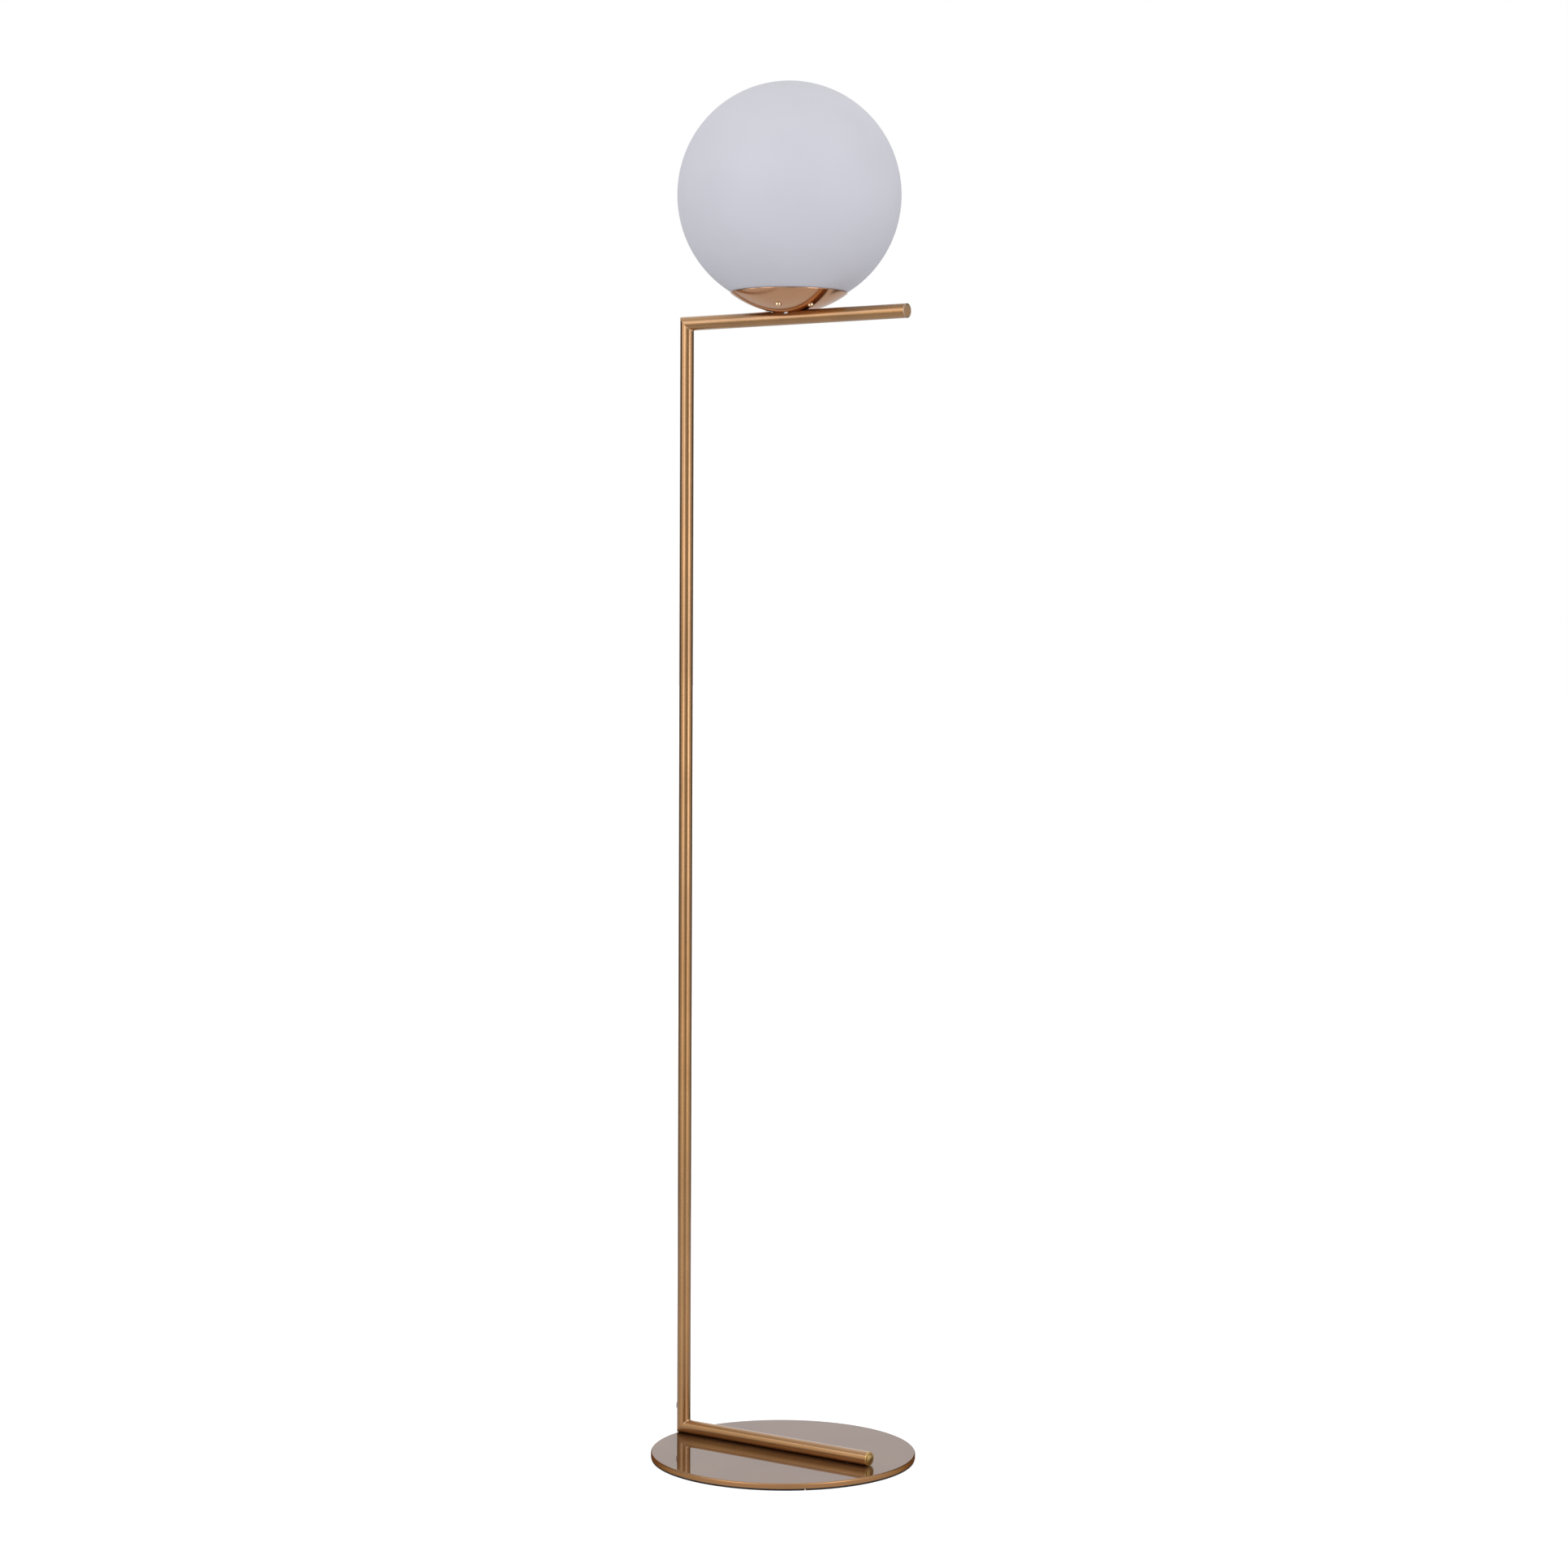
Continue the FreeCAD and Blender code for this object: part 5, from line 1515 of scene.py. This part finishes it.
@dataclass
class Bulb:
    """Screw-cap bulb with frosted glass."""

    wall: float = 1 * MM
    shoulder: float = 25.0
    neck_rise: float = 3 * MM
    neck_bend: float = 12 * MM
    neck_inset: float = 0.6 * MM
    sheet: float = 0.5 * MM
    taper: float = 2.6 * MM
    plain_collar: float = 3 * MM
    thread_depth: float = 0.9 * MM
    contact_edge: float = 0.4 * MM
    insulator_edge: float = 0.1 * MM

    def build(self) -> None:
        """Build cap, insulator, contact and glass."""
        self.cap()
        self.tip()
        self.glass()

    def cap(self) -> None:
        """The cap, with its rolled thread below a plain collar."""
        node = Packed("bulb_cap")
        start, high, outer = node.low.z + self.taper, node.high.z, node.high.x
        section = [(0.0, node.low.z), (outer - self.taper, node.low.z),
                   *thread_section(outer - self.sheet, outer, start, high), (0.0, start)]
        mesh = grown(rolled_thread(), NICKEL, revolved(section, COARSE_TURN, closed=False),
                     low=start, high=high - self.plain_collar, pitch=THREAD_PITCH,
                     depth=self.thread_depth)
        put("bulb_screw_cap", mesh, NICKEL, Slot.NICKEL, "bulb_cap")

    def tip(self) -> None:
        """Glass insulator and soldered contact."""
        insulator, contact = Packed("bulb_insulator"), Packed("bulb_contact")
        section = softened([
            (0.0, insulator.low.z), (contact.high.x, insulator.low.z),
            (insulator.high.x, insulator.high.z, self.insulator_edge), (0.0, insulator.high.z)])
        put("bulb_glass_insulator", revolved(section, COARSE_TURN, closed=False),
            INSULATOR_GLASS, Slot.INSULATOR, "bulb_insulator")
        section = softened([
            (0.0, contact.low.z), (contact.high.x, contact.low.z, self.contact_edge),
            (contact.high.x, contact.high.z), (0.0, contact.high.z)])
        put("bulb_tip_contact", revolved(section, COARSE_TURN, closed=False), NICKEL,
            Slot.NICKEL, "bulb_contact")

    def glass(self) -> None:
        """The frosted envelope: neck, taper and round end in one closed shell."""
        node, cap = Packed("bulb_glass"), Packed("bulb_cap")
        radius = node.size.x / 2
        middle, neck = node.high.z - radius, cap.high.x - self.neck_inset
        inner, blend, low = neck - self.wall, cap.high.z + self.neck_rise, node.low.z
        outside = arc((0.0, middle), radius, -self.shoulder, 90, 36)
        inside = arc((0.0, middle), radius - self.wall, 90, -self.shoulder, 36)
        lip = [*softened([inside[-1], (inner, blend, self.neck_bend), (inner, low)], 8)[1:],
               *softened([(neck, low), (neck, blend, self.neck_bend), outside[0]], 8)[:-1]]
        put("frosted_envelope", shell(lip, outside, inside, HOLDER_TURN), BULB_GLASS, Slot.BULB,
            "bulb_glass")


# ---- Cable inside the lamp ----
@dataclass
class Cable:
    """Round two-core cable from the lampholder through nipple, arm and pole to the inlet."""

    stand: Stand
    radius: float = 2.5 * MM
    neck_bend: float = 5 * MM
    corner_bend: float = 15 * MM
    inlet_bend: float = 5.2 * MM

    def build(self) -> None:
        """Build the cable along the axes of the stand's tubes."""
        node, inlet = Packed("lamp_cable"), Packed("inlet_grommet").middle.z
        pole, arm = self.stand.pole_x, self.stand.arm_z
        corners = [(0.0, 0.0, node.high.z), (0.0, 0.0, arm), (pole, 0.0, arm),
                   (pole, 0.0, inlet), (node.low.x, 0.0, inlet)]
        line = bpy.data.meshes.new("cable_line")
        line.from_pydata(corners, [(i, i + 1) for i in range(len(corners) - 1)], [])
        line.attributes.new("bend", "FLOAT", "POINT").data.foreach_set(
            "value", [0.0, self.neck_bend, self.corner_bend, self.inlet_bend, 0.0])
        put("inner_cable", grown(swept_cable(), CABLE_SHEATH, line, radius=self.radius),
            CABLE_SHEATH, Slot.CABLE, "lamp_cable")
        dress(CABLE_SHEATH, "cable_cores")


# ---- Studio ----
@dataclass(frozen=True)
class Panel:
    """A panel that faces the pole, degrees to the right of the camera; a shine of 1 is white."""

    name: str
    angle: float
    distance: float
    width: float
    height: float
    middle: float
    shine: float


@dataclass
class Studio:
    """Pale floor, white surroundings, soft strips, grey flags and the camera."""

    camera_place: tuple[float, float, float] = (2.22501, -3.09305, 0.94810)
    yaw: float = -0.6242
    pitch: float = 0.0694
    roll: float = -0.0051
    focal_pixels: float = 4164.42
    picture_pixels: float = 1932.0
    centre_drop_pixels: float = 95.55
    sensor: float = 36.0
    clip: tuple[float, float] = (0.05, 200.0)
    ambient: float = 0.82
    sky: float = 1.0
    sky_start: float = 0.3
    sky_full: float = 0.75
    lamp_tint: Colour = (0.94, 0.975, 1.09)
    floor_size: float = 40.0
    floor_grey: float = 0.58
    floor_roughness: float = 0.9
    white_from: float = 0.35
    white_at: float = 1.6
    mirrored_floor: float = 0.09
    pole: tuple[float, float] = (-0.143, 0.0)
    strips: tuple[Panel, ...] = (
        Panel("left_strip", -41.0, 2.2, 0.95, 2.1, 1.45, 2.1),
        Panel("right_strip", 46.0, 2.2, 0.75, 2.1, 1.45, 3.1),
        Panel("arm_strip", -74.0, 2.2, 0.6, 1.6, 1.75, 1.8))
    flags: tuple[Panel, ...] = (
        Panel("front_flag", 7.0, 1.8, 0.55, 1.9, 0.95, 0.12),
        Panel("left_flag", -119.0, 1.5, 1.4, 2.2, 1.1, 0.12),
        Panel("low_flag", -82.0, 1.6, 1.3, 1.15, 0.575, 0.55),
        Panel("right_flag", 119.0, 1.5, 1.4, 2.2, 1.1, 0.12))

    def build(self) -> None:
        """Set up camera, surroundings, floor and lamps."""
        bpy.context.scene.view_settings.view_transform = "Standard"
        self.camera()
        self.world()
        self.floor()
        for panel in self.strips:
            self.strip(panel)
        for panel in self.flags:
            self.flag(panel)

    def camera(self) -> None:
        """The camera at the photograph's place, angle and framing."""
        data = bpy.data.cameras.new("camera")
        data.sensor_width = self.sensor
        data.lens = self.focal_pixels / self.picture_pixels * self.sensor
        data.shift_y = self.centre_drop_pixels / self.picture_pixels
        data.clip_start, data.clip_end = self.clip
        ahead = Vector((math.sin(self.yaw) * math.cos(self.pitch),
                        math.cos(self.yaw) * math.cos(self.pitch), -math.sin(self.pitch)))
        level = Vector((math.cos(self.yaw), -math.sin(self.yaw), 0.0))
        steep = ahead.cross(level)
        right = math.cos(self.roll) * level + math.sin(self.roll) * steep
        down = -math.sin(self.roll) * level + math.cos(self.roll) * steep
        camera = linked("camera", data)
        camera.matrix_world = (Matrix.Translation(self.camera_place)
                               @ Matrix((right, -down, -ahead)).transposed().to_4x4())
        bpy.context.scene.camera = camera

    def outwards(self, panel: Panel) -> Vector:
        """Level direction from the pole to a panel.

        Args:
            panel: The panel.

        Returns:
            The direction, one long.
        """
        towards = Vector((self.camera_place[0] - self.pole[0],
                          self.camera_place[1] - self.pole[1], 0.0)).normalized()
        towards.rotate(Matrix.Rotation(math.radians(panel.angle), 3, "Z"))
        return towards

    def world(self) -> None:
        """White for what the camera and shiny things see, and soft light for the rest."""
        world = bpy.data.worlds.new("surroundings")
        paint = Paint(world)
        overhead = paint.ramp(paint.split(paint.where("Generated"))[2], self.ambient, self.sky,
                              self.sky_start, self.sky_full)
        light = paint.out("ShaderNodeBackground", {
            "Color": WHITE, "Strength": paint.ramp(paint.seen(1.0), overhead, 1.0)})
        paint.add("ShaderNodeOutputWorld", {"Surface": light})
        bpy.context.scene.world = world

    def staged(self, name: str, mesh: Mesh, shader: str, feeds: dict) -> Object:
        """Put a mesh into the studio.

        Args:
            name: Its name.
            mesh: The mesh.
            shader: Blender's type name of its shader.
            feeds: What the shader is fed: values, or functions of the material's nodes.

        Returns:
            The object, which is no part of the lamp.
        """
        material = bpy.data.materials.new(name)
        paint = Paint(material)
        paint.add("ShaderNodeOutputMaterial", {"Surface": paint.out(shader, {
            key: value(paint) if callable(value) else value for key, value in feeds.items()})})
        mesh.materials.append(material)
        made = linked(name, mesh)
        made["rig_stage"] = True
        return made

    def floor_glow(self, paint: Paint) -> NodeSocket:
        """White far away, for rays that see the floor directly.

        Args:
            paint: The floor's nodes.

        Returns:
            The strength of its glow.
        """
        glow = paint.ramp(paint.measure("LENGTH", paint.where()), self.floor_grey, 1.0,
                          self.white_from, self.white_at)
        return paint.calc("MULTIPLY", paint.seen(self.mirrored_floor), glow)

    def floor(self) -> None:
        """A wide pale floor, white far away, that keeps the lamp's shadow."""
        form = bmesh.new()
        bmesh.ops.create_grid(form, x_segments=1, y_segments=1, size=self.floor_size)
        self.staged("floor", sealed(form, keep_sides=True), "ShaderNodeBsdfPrincipled", {
            "Base Color": (self.floor_grey,) * 3, "Roughness": self.floor_roughness,
            "Specular IOR Level": 0.0, "Emission Color": WHITE,
            "Emission Strength": self.floor_glow})

    def strip(self, panel: Panel) -> None:
        """A softbox.

        Args:
            panel: Its place, size and shine.
        """
        data = bpy.data.lights.new(panel.name, "AREA")
        data.shape = "RECTANGLE"
        data.size, data.size_y = panel.width, panel.height
        data.energy = panel.shine * math.pi * panel.width * panel.height
        data.color = self.lamp_tint
        lamp, outwards = linked(panel.name, data), self.outwards(panel)
        lamp.location = Vector((*self.pole, panel.middle)) + outwards * panel.distance
        lamp.rotation_euler = outwards.to_track_quat("Z", "Y").to_euler()

    def flag(self, panel: Panel) -> None:
        """A grey panel that only shiny things see.

        Args:
            panel: Its place, size and shine.
        """
        outwards = self.outwards(panel)
        sideways = outwards.cross(Vector((0, 0, 1))) * panel.width / 2
        foot = (Vector((*self.pole, panel.middle - panel.height / 2))
                + outwards * panel.distance)
        rise = Vector((0, 0, panel.height))
        mesh = bpy.data.meshes.new(panel.name)
        mesh.from_pydata([foot - sideways, foot + sideways, foot + sideways + rise,
                          foot - sideways + rise], [], [(0, 1, 2, 3)])
        made = self.staged(panel.name, mesh, "ShaderNodeEmission", {
            "Color": WHITE, "Strength": panel.shine})
        made.visible_camera = made.visible_diffuse = made.visible_shadow = False


# ---- The whole lamp ----
def clear_defaults() -> None:
    """Remove the objects that a new file starts with."""
    for item in list(bpy.data.objects):
        bpy.data.objects.remove(item)


def corners(box: tuple[Vector, Vector]) -> list[list[float]]:
    """A box as plain lists of numbers."""
    return [list(corner) for corner in box]


def main() -> None:
    """Build the lamp around its frame, set up the studio and measure its bounds before and after.
    """
    logging.basicConfig(level=logging.INFO, format="%(name)s: %(message)s")
    packed = corners(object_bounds())
    stand = Stand()
    for part in (Base(), stand, Bowl(), Globe(), Lampholder(), Bulb(), Cable(stand)):
        part.build()
        LOG.info("%s is built", type(part).__name__)
    Studio().build()
    {"packed": packed, "dressed": corners(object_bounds())}


clear_defaults()
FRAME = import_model()

if __name__ == "__main__":
    main()
